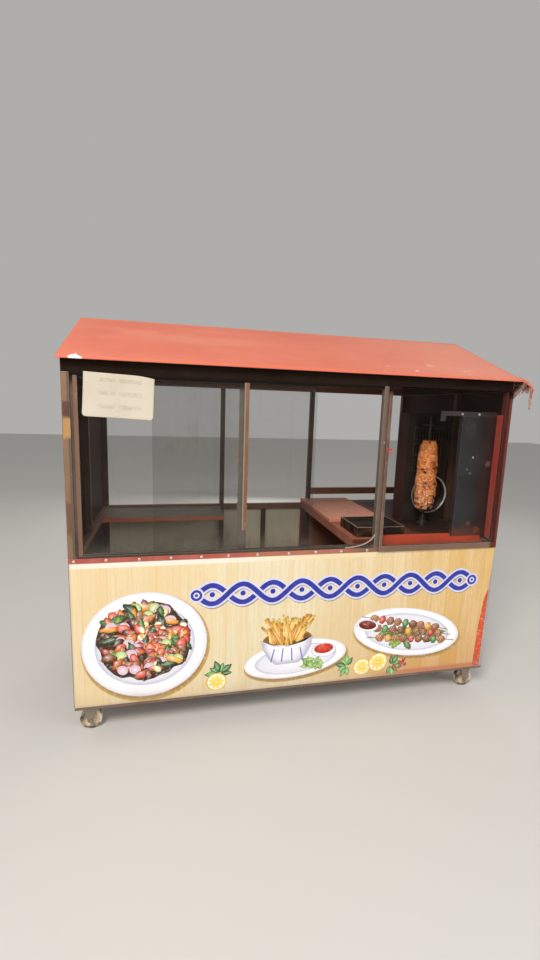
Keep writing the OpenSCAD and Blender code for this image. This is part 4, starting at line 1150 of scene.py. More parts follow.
def chipBowl(dice):
    p = Picture()
    cx, cz = chips["middle"]
    plate(p, cx + 0.02, cz - 0.055, *chips["plate"], 0.1)
    p.shape(oval(cx - 0.03, cz + 0.055, 0.128, 0.05, 0.04, 32), "a06a1c 7d4c12 5e360c", (0, 0), 0.8)
    heap = [(cx - 0.03 + dice.uniform(-0.1, 0.1), dice.uniform(0.0, 1.0)) for _ in range(chips["chips"])]
    for x, t in sorted(heap, key=lambda s: s[1]):
        lean = 1.57 + (cx - 0.03 - x) * 5.2 + dice.uniform(-0.35, 0.35)
        tall = dice.uniform(0.085, 0.13)
        z = cz + 0.125 - 0.062 * t + dice.uniform(-0.006, 0.012)
        tone = hue(dice.choice(["e9b23c", "f2c657", "dc9c2e", "f6d578", "cf8a26"]))
        p.shape(stick(x, z, tall, 0.0125, lean), lit(tone, 0.55, 0.35), (-0.04, 0.0), 0.6)
    half = [(0.06, -0.088), (0.098, -0.052), (0.125, 0.0), (0.135, 0.052)]
    bowl = [(-x, z) for x, z in half[::-1]] + half + [(0.09, 0.026), (0.0, 0.012), (-0.09, 0.026)]
    p.shape(turned(bowl, cx - 0.03, cz + 0.01, 0.03), "b4b4c8 e6e6f0 ffffff", (-0.12, 0.05), 0.72)
    for k in (-0.075, -0.025, 0.025, 0.075):
        p.shape(stick(cx - 0.03 + k, cz - 0.028, 0.07, 0.006, 1.57 + k * 3), "3a4fa8 4d63bd 6c80cf")
    p.shape(oval(cx + 0.165, cz - 0.02, 0.066, 0.04, 0.05, 26), "b4b4c8 efeff6 ffffff", (0, 0), 0.9)
    p.shape(oval(cx + 0.165, cz - 0.012, 0.052, 0.027, 0.05, 24), "8a1a10 c32a17 e2573a", (-0.2, 0.2), 0.8)
    for _ in range(chips["sprinkle"]):
        tone = hue(dice.choice(["6c9a3c", "8db552", "a7c76a"]))
        p.shape(
            leaf(
                cx + 0.08 + dice.uniform(-0.03, 0.09), cz - 0.085 + dice.uniform(-0.02, 0.02), 0.05, 0.024,
                dice.uniform(0, 3.1), 9, 0.2),
            lit(tone, 0.6, 0.35))
    return p


def lemonsAndMint(dice):
    p = Picture()
    p.shape(
        [(1.008, 0.62), (0.999, 0.158), (0.955, 0.158), (0.968, 0.4), (0.985, 0.56)], "c64520 cf5026 d86232", (0, 0),
        0.6)

    def sprig(cx, cz, size, tilt):
        for k in range(7):
            a = tilt + (k - 3) * 0.62
            reach = size * (0.62 if k % 2 else 0.5)
            tone = hue(dice.choice(["3f8a34", "5aa544", "2f6d2a", "7dbf5c"]))
            x, z = cx + reach * 0.62 * math.cos(a), cz + reach * 0.62 * math.sin(a)
            p.shape(leaf(x, z, reach, reach * 0.52, a, 13, 0.07), lit(tone, 0.5, 0.25), (0, 0.1))
            p.shape(leaf(x, z, reach * 0.8, 0.0028, a, 5), paler(tone, 0.4, 0.5, 0.5))

    def lemonSlice(cx, cz, r, tilt):
        p.shape(oval(cx, cz, r, r * 0.94, tilt, 36), "d8a018 efc22c fbe88c", (0, 0), 0.93)
        p.shape(oval(cx, cz, r * 0.88, r * 0.83, tilt, 36), "f6efc8 fdf8e0 fffbe8", (0, 0), 0.9)
        for k in range(9):
            a = tilt + k * math.tau / 9
            p.shape(
                leaf(cx + r * 0.46 * math.cos(a), cz + r * 0.43 * math.sin(a), r * 0.72, r * 0.34, a, 9),
                "e6b91c f4d648 fbeb96", (0.1, 0.05), 0.8)

    for kind, *where in garnish["bits"]:
        (sprig if kind == "sprig" else lemonSlice)(*where)
    for _ in range(garnish["berries"]):
        x, z = 0.52 + dice.uniform(-0.05, 0.03), 0.222 + dice.uniform(-0.025, 0.02)
        p.shape(oval(x, z, 0.011, 0.0105, 0, 14), "5a0f0f a8231c e0685a", (-0.3, 0.3), 0.8)
    return p


def ripples(b):
    return b.bump(b.mul(b.clouds(1.0, b.stretch((5.0, 1.0, 2.0)), detail=2.0), 3.0), 0.35, 0.003)


def lowDirt(b, share=1.0):
    # dirt low down on the cover
    return b.step(b.add(b.axis("z"), b.mul(b.clouds(7.0, detail=6.0), 0.2)), 0.36, 0.2, share)


def inkFinish():
    b = Finish("printInk")
    ink = b.put("ShaderNodeVertexColor", layer_name="ink").outputs[0]
    mottle = b.clouds(150.0, detail=4.0, rough=0.7)
    colour = b.mix(b.step(mottle, 0.3, 0.7, 0.34), ink, b.mix(1.0, ink, ink, "MULTIPLY"))
    colour = b.mix(b.step(b.clouds(60.0, detail=5.0), 0.5, 0.78, 0.3), colour, (0.93, 0.88, 0.76))
    colour = b.mix(lowDirt(b, 0.35), colour, dustTone)
    return b.feed(colour=colour, rough=b.add(0.3, b.mul(b.clouds(30.0), 0.2)), normal=ripples(b), specular=0.45)


printInk = inkFinish()
prints = {
    "saladPrint": (saladPlate, salad), "skewerPrint": (skewerPlatter, platter), "chipsPrint": (chipBowl, chips),
    "lemonPrint": (lemonsAndMint, garnish)}
for name, (draw, given) in prints.items():
    printed = draw(random.Random(given["seed"])).piece(name, printInk)
    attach(printed, "kiosk")
print("cover picture drawn")

# the braided band over the picture

braid = {
    "start": -0.585, "length": 1.48, "height": 0.676, "swing": 0.046, "pitch": 0.296, "stroke": 0.025, "rim": 0.009,
    "dot": 0.013, "cap": 0.036, "layer": 0.00002}


def plainInk(name, tone, second):
    b = Finish(name)
    colour = b.mix(b.step(b.clouds(40.0, detail=5.0), 0.35, 0.7), tone, second)
    return b.feed(colour=colour, rough=0.38, normal=ripples(b))


def braidTree():
    g = Grower(
        "braidedBand",
        "Float: Start, Length, Height, Swing, Pitch, Stroke, Rim, Dot, Cap, Face; Material: Ink, Rim Ink, Shadow Ink")
    i = g.given
    steps = 420

    def strand(sign, wide, layer, ink, dx=0.0, dz=0.0):
        step = g.vector(g.num("DIVIDE", i["Length"], float(steps)))
        line = g.make("MeshLine", {"Count": steps + 1, "Start Location": g.vector(i["Start"]), "Offset": step})
        x = g.axis("x", g.make("InputPosition"))
        turn = g.mul(g.num("DIVIDE", g.sub(x, i["Start"]), i["Pitch"]), math.tau)
        z = g.add(i["Height"], g.mul(g.mul(g.num("SINE", turn), i["Swing"]), sign))
        spot = g.vector(g.add(x, dx), g.sub(i["Face"], layer * braid["layer"]), g.add(z, dz))
        curve = g.make("MeshToCurve", {"Mesh": g.make("SetPosition", {"Geometry": line, "Position": spot})})
        level = g.make("SetCurveNormal", {"Curve": curve}, mode="Z_UP")
        half = g.mul(wide, 0.5)
        profile = g.make(
            "CurvePrimitiveLine", {"Start": g.vector(0.0, g.mul(half, -1.0), 0.0), "End": g.vector(0.0, half, 0.0)})
        parts.append(g.painted(g.make("CurveToMesh", {"Curve": level, "Profile Curve": profile}), i[ink]))

    rimmed = g.add(i["Stroke"], g.mul(i["Rim"], 2.0))
    parts = []
    for order, sign in enumerate((1.0, -1.0)):
        strand(sign, rimmed, 1 + order * 0.5, "Shadow Ink", 0.004, -0.006)
        strand(sign, rimmed, 3 + order * 3, "Rim Ink")
        strand(sign, i["Stroke"], 4 + order * 3, "Ink")

    def discs(first, count, gap, radius, layer, ink, sides=28):
        place = g.vector(first, g.sub(i["Face"], layer * braid["layer"]), i["Height"])
        spots = g.make("MeshLine", {"Count": count, "Start Location": place, "Offset": g.vector(gap)})
        disc = g.moved(
            g.make("MeshCircle", {"Vertices": sides, "Radius": radius}, fill_type="NGON"), rotation=upright)
        parts.append(g.painted(g.make("InstanceOnPoints", {"Points": spots, "Instance": disc}), i[ink]))

    # an eye in each loop of the braid, and a rosette that closes each end
    half = g.mul(i["Pitch"], 0.5)
    loops = g.num("ROUND", g.num("DIVIDE", i["Length"], half))
    middle = g.add(i["Start"], g.mul(half, 0.5))
    discs(middle, loops, half, g.add(i["Dot"], g.mul(i["Rim"], 0.7)), 9, "Rim Ink")
    discs(middle, loops, half, i["Dot"], 10, "Ink")
    for share, layer, ink in ((1.0, 11, "Rim Ink"), (0.76, 12, "Ink"), (0.42, 13, "Rim Ink"), (0.2, 14, "Ink")):
        discs(i["Start"], 2, i["Length"], g.mul(i["Cap"], share), layer, ink, 36)
    return g.finish(g.join(*parts))


def faceFront(bm):
    bm.normal_update()
    bmesh.ops.reverse_faces(bm, faces=[f for f in bm.faces if f.normal.y > 0])


inks = {
    "ink": plainInk("navyInk", (0.014, 0.022, 0.26), (0.03, 0.04, 0.36)),
    "rimInk": plainInk("lilacInk", (0.58, 0.58, 0.83), (0.66, 0.66, 0.86)),
    "shadowInk": plainInk("shadowInk", (0.3, 0.25, 0.2), (0.38, 0.32, 0.25))}
band = reworked(grown("braidPrint", braidTree(), {**braid, **inks, "face": cover["face"]}), faceFront)
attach(band, "kiosk")
print("braid drawn")

# notice in the left pane, corner strip, pull ring

notice = {
    "left": -1.0545, "top": 1.687, "width": 0.287, "height": 0.184, "tilt": -0.043, "face": -0.5509, "curl": 0.012,
    "round": 0.012, "thick": 0.0003, "rows": 45, "columns": 41}


def noticeFinish():
    b = Finish("noticePaper")
    shade = b.step(b.clouds(9.0, detail=4.0), 0.35, 0.7, 0.6)
    colour = b.mix(shade, (0.53, 0.475, 0.39), (0.47, 0.405, 0.315))
    uv = b.put("ShaderNodeUVMap", uv_map="sheet").outputs[0]
    across, down = b.axis("x", uv), b.axis("y", uv)
    # three rows of plain faint bars
    row = b.num("FRACT", b.sub(b.mul(down, 3.333), 0.333))
    bars = b.mul(b.step(b.num("ABSOLUTE", b.sub(row, 0.5)), 0.2, 0.1), b.step(down, 0.07, 0.1))
    bars = b.mul(bars, b.step(down, 0.92, 0.88))
    ends = b.mul(b.step(across, 0.2, 0.235), b.step(across, 0.84, 0.81))
    gap = b.step(b.num("ABSOLUTE", b.sub(across, 0.47)), 0.02, 0.045)
    worn = b.step(b.clouds(70.0, detail=4.0), 0.3, 0.6, 0.5)
    colour = b.mix(b.mul(b.mul(bars, b.mul(ends, gap)), b.add(worn, 0.1)), colour, (0.36, 0.31, 0.24))
    side, foot = (b.num("ABSOLUTE", b.sub(way, 0.5)) for way in (across, down))
    colour = b.mix(b.most(b.step(side, 0.485, 0.5, 0.4), b.step(foot, 0.475, 0.5, 0.4)), colour, (0.5, 0.4, 0.26))
    return b.feed(colour=colour, rough=0.7, normal=b.bump(b.clouds(420.0, detail=2.0), 0.15, 0.0003))


def paperNotice(n):
    rows, columns = n["rows"], n["columns"]
    points, spots = [], []
    for r in range(rows):
        for c in range(columns):
            u, v = c / (columns - 1), r / (rows - 1)
            # the lower corners are worn round
            near = min(u, 1 - u) * n["width"]
            lift = n["round"] - math.sqrt(max(0.0, n["round"] ** 2 - max(0.0, n["round"] - near) ** 2))
            x, z = u * n["width"], -v * (n["height"] - lift) - 0.009 * max(0.0, (u - 0.7) / 0.3) ** 2 * (1 - v)
            out = n["curl"] * (v ** 3) * (
                0.35 + 0.65 * abs(2 * u - 1) ** 2) + 0.0022 * math.sin(u * 7 + 1) * v + 0.0035 * v
            c0, s0 = math.cos(n["tilt"]), math.sin(n["tilt"])
            points.append((n["left"] + x * c0 - z * s0, n["face"] - out, n["top"] + x * s0 + z * c0))
            spots.append((u, 1 - v))
    piece = meshPiece("paperNotice", points, [f[::-1] for f in gridFaces(rows, columns)], noticeFinish(), smooth=True)
    unrolled(piece, "sheet", spots)
    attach(thickened(piece, n["thick"], -1), "kiosk")


paperNotice(notice)

strip = {
    "x": 0.9888, "thick": 0.0016, "front": -0.5365, "back": -0.499, "low": 0.8975, "high": 1.562, "rows": 90,
    "columns": 9}


def bentStrip(s):
    # a narrow red strip down the inner side of the right post, its edge folded a little and dented here and there
    rows, columns = s["rows"], s["columns"]
    points = []
    for r in range(rows):
        z = s["low"] + (s["high"] - s["low"]) * r / (rows - 1)
        for c in range(columns):
            u = c / (columns - 1)
            wave = 0.0011 * noise.noise(Vector((u * 1.5, z * 9, 4)))
            fold = 0.004 * max(0.0, u - 0.8) / 0.2
            ragged = 0.0018 * noise.noise(Vector((z * 26, 2, 7))) * (1 if c in (0, columns - 1) else 0)
            points.append((s["x"] - 0.0012 + wave - fold, s["front"] + (s["back"] - s["front"]) * u + ragged, z))
    piece = meshPiece(
        "cornerStrip", points, gridFaces(rows, columns),
        paintedSteel(
            "stripPaint", (0.4, 0.04, 0.03), (0.3, 0.06, 0.045), bare=(0.12, 0.06, 0.045), cloud=7.0, wear=0.6,
            chips=0.42, dust=0.25),
        smooth=True)
    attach(thickened(piece, s["thick"]), "kiosk")


bentStrip(strip)

pullRing = {"x": 0.3425, "y": -0.5668, "z": 1.3735, "radius": 0.0112, "wire": 0.0034, "around": 36, "tube": 12}
# the nail it hangs on, as radius and Y: shank, head and a rounded end
nail = [
    (0.0, -0.5622), (0.0014, -0.5622), (0.0014, -0.5705), (0.0034, -0.5712), (0.0036, -0.5724), (0.0022, -0.5732),
    (0.0, -0.5734)]


def closeUp(bm):
    bmesh.ops.remove_doubles(bm, verts=bm.verts, dist=1e-5)
    bmesh.ops.holes_fill(bm, edges=[e for e in bm.edges if e.is_boundary], sides=0)
    bmesh.ops.recalc_face_normals(bm, faces=bm.faces)


def ringAndNail(p):
    points, faces = [], []
    around, tube = p["around"], p["tube"]
    for i in range(around):
        a = math.tau * i / around
        for k in range(tube):
            t = math.tau * k / tube
            r = p["radius"] + p["wire"] * math.cos(t) * (1 + 0.06 * math.sin(5 * a))
            y = p["y"] + p["wire"] * math.sin(t) * 0.9 + 0.002 * math.sin(a)
            points.append((p["x"] + r * math.cos(a) * 0.94, y, p["z"] + r * math.sin(a)))
            j, m = (i + 1) % around, (k + 1) % tube
            faces.append((i * tube + k, i * tube + m, j * tube + m, j * tube + k))
    start = len(points)
    top = p["z"] + p["radius"] - p["wire"] - 0.0014
    for r, y in nail:
        for k in range(tube):
            a = math.tau * k / tube
            points.append((p["x"] + max(r, 0.00005) * math.cos(a), y, top + max(r, 0.00005) * math.sin(a)))
    for i in range(len(nail) - 1):
        for k in range(tube):
            m = (k + 1) % tube
            faces.append(
                (start + i * tube + k, start + i * tube + m, start + (i + 1) * tube + m, start + (i + 1) * tube + k))
    made = paintedSteel(
        "ringPaint", (0.42, 0.03, 0.03), (0.5, 0.08, 0.07), bare=steelTone, rough=0.35, cloud=60.0, edge=0.001,
        chipScale=140.0, dust=0.15)
    piece = reworked(meshPiece("pullRing", points, faces, made, smooth=True), closeUp)
    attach(piece, "kiosk")


ringAndNail(pullRing)

edging = {
    "start": (0.148, -0.5506, 0.8817), "startPull": (0.215, -0.551, 0.8835), "endPull": (0.285, -0.5512, 0.898),
    "end": (0.3055, -0.5508, 0.946), "radius": 0.003}


def edgingTree():
    # a pale soft bead that has slipped out of the hatch's corner and bends across it
    g = Grower("bentEdging", "Vector: Start, Start Pull, End Pull, End; Float: Radius; Material: Finish")
    i = g.given
    bend = {
        "Resolution": 28, "Start": i["Start"], "Start Handle": i["Start Pull"], "End Handle": i["End Pull"],
        "End": i["End"]}
    path = g.make("CurvePrimitiveBezierSegment", bend)
    ring = g.make("CurvePrimitiveCircle", {"Resolution": 12, "Radius": i["Radius"]})
    bead = g.make("CurveToMesh", {"Curve": path, "Profile Curve": ring, "Fill Caps": True})
    return g.finish(g.painted(bead, i["Finish"]))


bead = grown(
    "hatchEdging", edgingTree(),
    {
        **edging,
        "finish": paintedSteel(
            "edgingRubber", (0.33, 0.265, 0.21), (0.42, 0.345, 0.28), bare=(0.2, 0.15, 0.11), rough=0.6, cloud=40.0,
            edge=0.001, wear=0.2, chips=0.2, dust=0.15, gloss=0.3)})
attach(bead, "kiosk")
print("notice, strip, ring and edging made")

# torn awning cloth at the right side

awning = {
    "inner": 1.0208, "reach": 0.1327, "top": 1.755, "drop": 0.06, "length": 0.153, "front": -0.545, "back": 0.545,
    "thick": 0.0011, "hem": 0.02, "rows": 190, "columns": 34, "rips": ((0.118, 16), (0.47, 12), (0.79, 19)),
    "seed": 7}
# torn shreds at its front corner: where along the reach, width, length, lean; and a torn valance on the free edge
shreds = [
    (0.86, 0.0075, 0.122, 0.3), (0.93, 0.007, 0.112, -0.4), (0.975, 0.0075, 0.07, 0.6), (0.8, 0.005, 0.036, -0.2)]
valance = {"dense": 0.12, "full": 7, "loose": 20, "longest": 0.034, "wide": (0.006, 0.012), "seed": 23}


def awningFinish():
    b = Finish("awningFabric")
    uv = b.put("ShaderNodeUVMap", uv_map="cut").outputs[0]
    weave = b.group(clothWeave, vector=uv, threads=2400.0)
    colour = b.group(paintClouds, paint=(0.5, 0.075, 0.045), faded=(0.56, 0.19, 0.14), scale=8.0)["Colour"]
    colour = b.mix(b.mul(weave["Slub"], 0.35), colour, (0.66, 0.27, 0.2))
    sun = b.facing("z", 0.1, 0.9)
    colour = b.mix(b.mul(sun, 0.35), colour, (0.62, 0.26, 0.2))
    stain = b.step(b.clouds(11.0, detail=6.0), 0.5, 0.72, 0.45)
    colour = b.mix(stain, colour, (0.2, 0.08, 0.055))
    frayed = b.step(b.axis("y", uv), 0.12, 0.142, 0.5)
    colour = b.mix(frayed, colour, (0.62, 0.3, 0.24))
    # painted shade: faces turned down or to -X are made near-black
    inner = b.most(b.facing("z", -0.1, -0.45), b.facing("x", -0.1, -0.45))
    colour = b.mix(b.mul(inner, 0.93), colour, (0.035, 0.012, 0.011))
    return b.feed(colour=colour, rough=0.82, sheen=0.15, normal=b.bump(weave["Height"], 0.5, 0.0007))


def clothPoint(a, u, v):
    # u runs from the front to the back, v from the wall to the free edge
    y = a["front"] + (a["back"] - a["front"]) * u
    s = v ** 0.86
    x = a["inner"] + a["reach"] * s
    z = a["top"] - a["drop"] * s ** 3 + 0.0015
    ends = min(u, 1 - u)
    sag = 0.011 * math.sin(math.pi * v) * (1 - math.exp(-ends * 16))
    folds = (0.0075 * math.sin(u * 31 + 1.5 * math.sin(u * 9)) + 0.004 * math.sin(u * 77 + 2)) * v * v
    flutter = 0.008 * noise.noise(Vector((u * 9, v * 2.2, 3.1))) * v
    return Vector(
        (
            x - abs(folds) * 0.7 - abs(flutter), y + 0.002 * noise.noise(Vector((u * 20, v * 4, 9))) * v,
            z - sag * 0.5 + folds * 0.5 + flutter))


def awningCloth(a):
    rows, columns = a["rows"], a["columns"]
    dice = random.Random(a["seed"])
    points, cut, edge = [], set(), []
    for r in range(rows):
        u = r / (rows - 1)
        tear = 0.045 + 0.1 * abs(noise.noise(Vector((u * 11, 0.4, 2)))) + 0.16 * max(
            0.0, noise.noise(Vector((u * 37, 5, 1)))) + dice.uniform(0, 0.02)
        nip = 1 - (tear if 0.012 < u else 0.02)
        for c in range(columns):
            v = c / (columns - 1) * nip
            points.append(clothPoint(a, u, v))
        edge.append(points[-1].copy())
    # long rips run in from the free edge
    for spot, deep in a["rips"]:
        r = int(spot * rows)
        for k in range(deep):
            cut.add((r + (k // 7) % 2, columns - 2 - k))
    piece = meshPiece("awningCloth", points, gridFaces(rows, columns, skip=cut), awningFinish(), smooth=True)
    span = a["back"] - a["front"]
    unrolled(
        piece, "cut",
        [(span * r / (rows - 1), a["length"] * c / (columns - 1)) for r in range(rows) for c in range(columns)])
    area = sum(p.area for p in piece.data.polygons)
    return thickened(piece, a["thick"]), edge, area


fray = {"longest": 0.06, "thickness": 0.0008, "frontRows": 9, "frontEach": 5, "hemThreads": 26}


def threadTree():
    g = Grower("frayedThreads", "Float: Longest, Thickness; Material: Finish")
    i = g.given
    bend = {
        "Resolution": 9, "Start": (0.0, 0.0, 0.0), "Start Handle": (0.12, 0.02, -0.25),
        "End Handle": (-0.1, 0.1, -0.6), "End": (0.06, 0.0, -1.0)}
    thread = g.make("CurvePrimitiveBezierSegment", bend)
    size = g.mul(g.random(0.25, 1.0, 11), g.mul(i["Longest"], g.random(0.3, 1.0, 12)))
    turn = g.vector(g.random(-0.35, 0.35, 13), g.random(-0.3, 0.15, 14), g.random(0.0, 6.28, 15))
    hung = g.make(
        "InstanceOnPoints",
        {"Points": i["Geometry"], "Instance": thread, "Rotation": turn, "Scale": g.vector(size, size, size)})
    real = g.make("RealizeInstances", {0: hung})
    ring = g.make("CurvePrimitiveCircle", {"Resolution": 5, "Radius": i["Thickness"]})
    tubes = g.make("CurveToMesh", {"Curve": real, "Profile Curve": ring, "Fill Caps": True})
    return g.finish(g.painted(tubes, i["Finish"]))


def fringeStarts(edge, a):
    # threads hang all along the torn edge, thickest at the front corner
    dice = random.Random(a["seed"] + 1)
    starts = []
    for k in range(len(edge) - 1):
        for _ in range(fray["frontEach"] if k < fray["frontRows"] else dice.choice((0, 1, 1, 2))):
            t = dice.random()
            starts.append(edge[k].lerp(edge[k + 1], t) + Vector((-0.003, 0, 0.001)))
    for _ in range(fray["hemThreads"]):
        starts.append(clothPoint(a, dice.uniform(0.0, 0.002), dice.uniform(0.62, 0.96)) + Vector((0, 0.001, 0)))
    return starts


def frontHem(a):
    # the cloth's front edge is turned down in a band that is frayed along its foot
    rows, columns = 60, 9
    points = []
    for r in range(rows):
        v = 0.93 * r / (rows - 1)
        for c in range(columns):
            t = c / (columns - 1)
            ragged = 1 + 0.3 * noise.noise(Vector((v * 26, 1.5, 6))) + 0.12 * noise.noise(Vector((v * 90, 3, 2)))
            drop = a["hem"] * t * ragged
            bulge = 0.0026 * math.sin(math.pi * t) + 0.0012 * math.sin(v * 40) * t
            points.append(clothPoint(a, 0.0, v) + Vector((0.1 * drop, -0.0008 - bulge, 0.0006 - drop)))
    piece = meshPiece(
        "awningHem", points, gridFaces(rows, columns),
        paintedSteel(
            "hemFabric", (0.52, 0.115, 0.07), (0.56, 0.21, 0.14), bare=(0.66, 0.36, 0.27), rough=0.8, cloud=30.0,
            wear=0.5, chips=0.3, dust=0.1, runs=0.1),
        smooth=True)
    return thickened(piece, a["thick"])


def hungStrips(name, strips, finish):
    # narrow strips of cloth that hang straight down, each turned and creased on its own
    rows, columns = 26, 5
    points, faces, cuts = [], [], []
    for k, (root, wide, long, heading, lean) in enumerate(strips):
        start = len(points)
        for r in range(rows):
            t = r / (rows - 1)
            turn = heading + lean * (0.4 + t) + 0.4 * noise.noise(Vector((t * 3, k, 1)))
            taper = 1 - 0.5 * t ** 2 + 0.25 * noise.noise(Vector((t * 9, k, 5)))
            sway = Vector(
                (
                    0.005 * noise.noise(Vector((t * 2.2, k, 7))) - 0.004 * t,
                    0.007 * noise.noise(Vector((t * 2.6, k, 9))), 0))
            for c in range(columns):
                across = c / (columns - 1)
                off = (across - 0.5) * wide * taper
                cup = 0.0012 * math.cos(across * math.tau + t * 6)
                ragged = 0.08 * long * noise.noise(Vector((c * 1.7, k, 3))) if r == rows - 1 else 0.0
                bend = Vector(
                    (
                        off * math.cos(turn) - cup * math.sin(turn), off * math.sin(turn) + cup * math.cos(turn),
                        0.002 - long * t + ragged))
                points.append(root + sway + bend)
                cuts.append((across * wide, t * long))
        faces += [tuple(start + q for q in face) for face in gridFaces(rows, columns)]
    piece = meshPiece(name, points, faces, finish, smooth=True)
    unrolled(piece, "cut", cuts)
    return thickened(piece, awning["thick"])


def cornerStrips(a):
    return [
        (clothPoint(a, 0.003 + 0.002 * k, v), wide, long, 0.4 * lean, 1.1 * lean) for k,
        (v, wide, long, lean) in enumerate(shreds)]


def valanceStrips(edge):
    # close together near the front, where the cloth is in shreds, and loose farther back
    dice = random.Random(valance["seed"])
    strips = []
    for k in range(valance["full"] + valance["loose"]):
        near = k < valance["full"]
        along = valance["dense"] * (k + dice.random()) / valance["full"] if near else dice.uniform(
            valance["dense"], 0.985)
        root = edge[int(along * (len(edge) - 1))] + Vector((-0.002, 0, 0))
        long = valance["longest"] * (dice.uniform(0.72, 1.0) if near else dice.uniform(0.2, 0.8))
        strips.append(
            (
                root, dice.uniform(*valance["wide"]), long, math.pi / 2 + dice.uniform(-0.35, 0.35),
                dice.uniform(-0.3, 0.3)))
    return strips


cloth, tornEdge, clothArea = awningCloth(awning)
threadColour = paintedSteel(
    "threadFibre", (0.55, 0.09, 0.05), (0.62, 0.2, 0.14), bare=(0.6, 0.3, 0.22), rough=0.85, cloud=50.0, wear=0.1,
    chips=0.2, dust=0.1, runs=0.0)
seeds = meshPiece("awningThreads", fringeStarts(tornEdge, awning), [], None)
threads = grown("awningThreads", threadTree(), {**fray, "finish": threadColour}, seeds)
hem = frontHem(awning)
torn = hungStrips(
    "awningShreds", cornerStrips(awning),
    paintedSteel(
        "shredFabric", (0.36, 0.18, 0.145), (0.46, 0.28, 0.235), bare=(0.6, 0.4, 0.33), rough=0.85, cloud=60.0,
        wear=0.3, chips=0.25, dust=0.1, runs=0.1))
fringe = hungStrips("awningFringe", valanceStrips(tornEdge), finishes["awningFabric"])
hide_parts("awning_cloth")
for piece in (cloth, threads, hem, torn, fringe):
    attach(piece, "kiosk")
print("awning cloth hung, flat area", round(clothArea, 4))

# stacked meat on the spit

meat = {"x": 0.7725, "y": -0.22, "low": 1.002, "high": 1.404, "largest": 0.061, "bore": 0.0063,
        "chunk": 0.032, "squash": 1.5, "relief": 0.0045, "sink": 0.0034, "seed": 3, "rows": 240, "around": 300,
        "shares": (0.78, 0.97, 1.0, 0.98, 0.89, 0.94, 0.88, 0.78, 0.6)}


def meatFinish():
    b = Finish("roastMeat")
    stored = b.put("ShaderNodeVertexColor", layer_name="depth").outputs[0]
    split = b.put("ShaderNodeSeparateColor", {0: stored}).outputs
    depth, own = split[0], split[1]
    grain = b.clouds(1.0, b.stretch((70.0, 70.0, 130.0)), detail=5.0, rough=0.65)
    # painted shade and painted highlight: dark in the borders, pits and crease, pale on the swells of the chunks
    level = b.add(b.mul(depth, 0.8), b.mul(b.sub(grain, 0.5), 0.42))
    tone = b.ramp(
        level, (0.08, (0.03, 0.008, 0.004)), (0.24, (0.32, 0.07, 0.02)), (0.42, (0.76, 0.225, 0.055)),
        (0.64, (0.95, 0.4, 0.12)), (0.86, (0.98, 0.66, 0.33)))
    tone = b.mix(b.step(own, 0.6, 0.85, 0.55), tone, b.mix(0.6, tone, (0.34, 0.085, 0.03)))
    tone = b.mix(b.step(own, 0.34, 0.12, 0.5), tone, b.mix(0.55, tone, (0.95, 0.56, 0.27)))
    low = b.step(b.axis("z"), 1.3, 1.0)
    burnt = b.add(b.clouds(34.0, detail=6.0, rough=0.7), b.mul(low, 0.055))
    char = b.mul(b.step(burnt, 0.58, 0.66, 0.88), b.add(0.25, b.mul(low, 0.75)))
    tone = b.mix(char, tone, (0.05, 0.014, 0.006))
    # painted highlight: pale glints low on the stack
    tone = b.mix(b.mul(b.step(b.clouds(70.0, detail=3.0), 0.53, 0.64, 0.75), low), tone, (1.0, 0.76, 0.53))
    rough = b.add(0.26, b.mul(grain, 0.35))
    return b.feed(
        colour=tone, rough=rough, coat=0.2, coatRough=0.25, inside=0.06, insideScale=0.006,
        normal=b.bump(b.clouds(260.0, detail=4.0), 0.45, 0.0008))


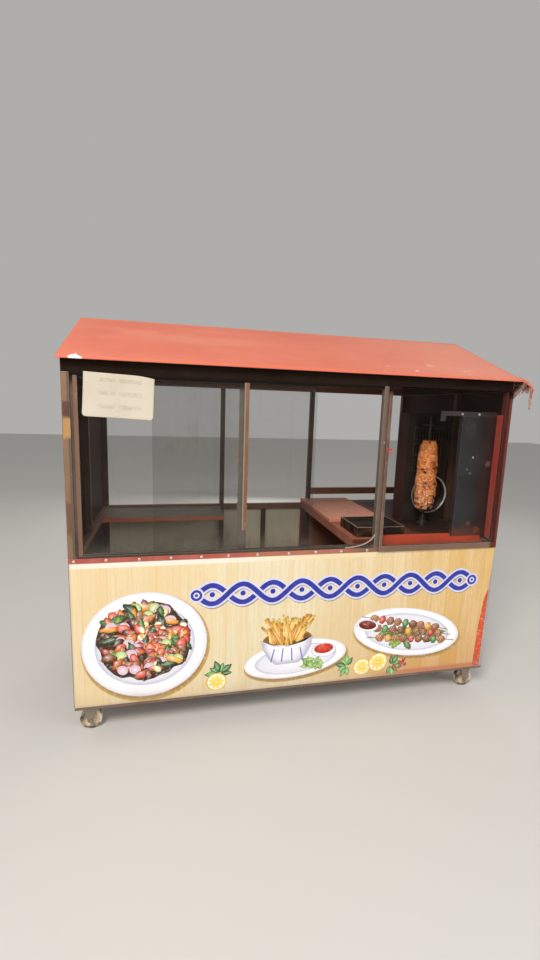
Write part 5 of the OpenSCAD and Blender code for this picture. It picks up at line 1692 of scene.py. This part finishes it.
def meatStack(m):
    noise.seed_set(m["seed"])  # noise_vector takes its offsets from this seed
    rows, around = m["rows"], m["around"]
    top = len(m["shares"]) - 1
    points, reliefShades = [], []
    for r in range(rows):
        t = r / (rows - 1)
        z = m["low"] + (m["high"] - m["low"]) * t
        k = min(int(t * top), top - 1)
        f = t * top - k
        f = f * f * (3 - 2 * f)
        base = m["largest"] * (m["shares"][k] * (1 - f) + m["shares"][k + 1] * f)
        for c in range(around):
            a = math.tau * c / around
            ca, sa = math.cos(a), math.sin(a)
            # chunks pressed together: each cell swells, and the borders between them sink in
            spot = Vector((ca * base, sa * base, z * m["squash"])) / m["chunk"]
            spot += 0.32 * noise.noise_vector(spot * 1.4)
            near, cells = noise.voronoi(spot)
            swell = min(1.0, (near[1] - near[0]) * 4.5) ** 0.8
            own = 0.5 + 0.5 * noise.noise(cells[0] * 5.7)
            lump = noise.noise(Vector((ca * 1.8, sa * 1.8, z * 15)))
            # deeper pits low on the stack, and one crease round it
            pit = max(0.0, noise.noise(Vector((ca * 2.6, sa * 2.6, z * 34 + 4))) - 0.08) * (1.35 - t)
            crease = math.exp(-((t - 0.6 - 0.02 * ca) / 0.012) ** 2)
            fine = noise.noise(Vector((ca * 15, sa * 15, z * 190)))
            rr = (
                base - m["sink"] + m["relief"] * swell + 0.005 * (own - 0.5) + 0.003 * lump + 0.0011 * fine
                - 0.006 * pit - 0.0025 * crease)
            if r in (0, rows - 1):
                rr = base * 0.93 - 0.004
            points.append((m["x"] + rr * ca, m["y"] + rr * sa, z + 0.0016 * fine))
            # the colour value: low for painted shade in the borders, pits and crease, high for painted highlight on
            # the swells
            reliefShades.append(
                (min(1.0, 0.46 + 0.22 * swell + 0.46 * (own - 0.5) + 0.2 * fine - 0.95 * pit - 0.3 * crease), own))
    faces = gridFaces(rows, around, loop=True)
    # both ends close in to the rod
    for row, z, flip in ((0, m["low"], True), (rows - 1, m["high"], False)):
        start = len(points)
        for share in (0.62, 0.3):
            for c in range(around):
                a = math.tau * c / around
                ring = points[row * around + c]
                x = m["x"] + (ring[0] - m["x"]) * share
                y = m["y"] + (ring[1] - m["y"]) * share
                if share < 0.5:
                    x, y = m["x"] + m["bore"] * math.cos(a), m["y"] + m["bore"] * math.sin(a)
                points.append((x, y, z + (0.0022 * noise.noise(Vector((x * 80, y * 80, 5))) if row else 0.0)))
                reliefShades.append((0.4, 0.5))
        for c in range(around):
            d = (c + 1) % around
            for q in (
                    (row * around + c, row * around + d, start + d, start + c),
                    (start + c, start + d, start + around + d, start + around + c)):
                faces.append(q[::-1] if flip else q)
    piece = meshPiece("meatStack", points, faces, meatFinish(), smooth=True)
    inked(piece, "depth", [(max(0.0, depth), own, 0.0) for depth, own in reliefShades])

    def innerWall(bm):
        # along the rod, so that the stack is closed
        bmesh.ops.bridge_loops(bm, edges=[e for e in bm.edges if e.is_boundary])
        bmesh.ops.recalc_face_normals(bm, faces=bm.faces)

    reworked(piece, innerWall)
    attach(piece, "spit")
    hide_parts("spit_meat")


meatStack(meat)
print("meat stacked")

# floor

b = Finish("paleFloor")
floorLook = b.feed(colour=b.mix(b.clouds(1.5), tuple(0.97 * c for c in studio["floor"]), studio["floor"]), rough=0.85)
bpy.ops.mesh.primitive_plane_add(size=40)
floor = bpy.context.object
floor.name = "paleFloor"
floor.data.materials.append(floorLook)
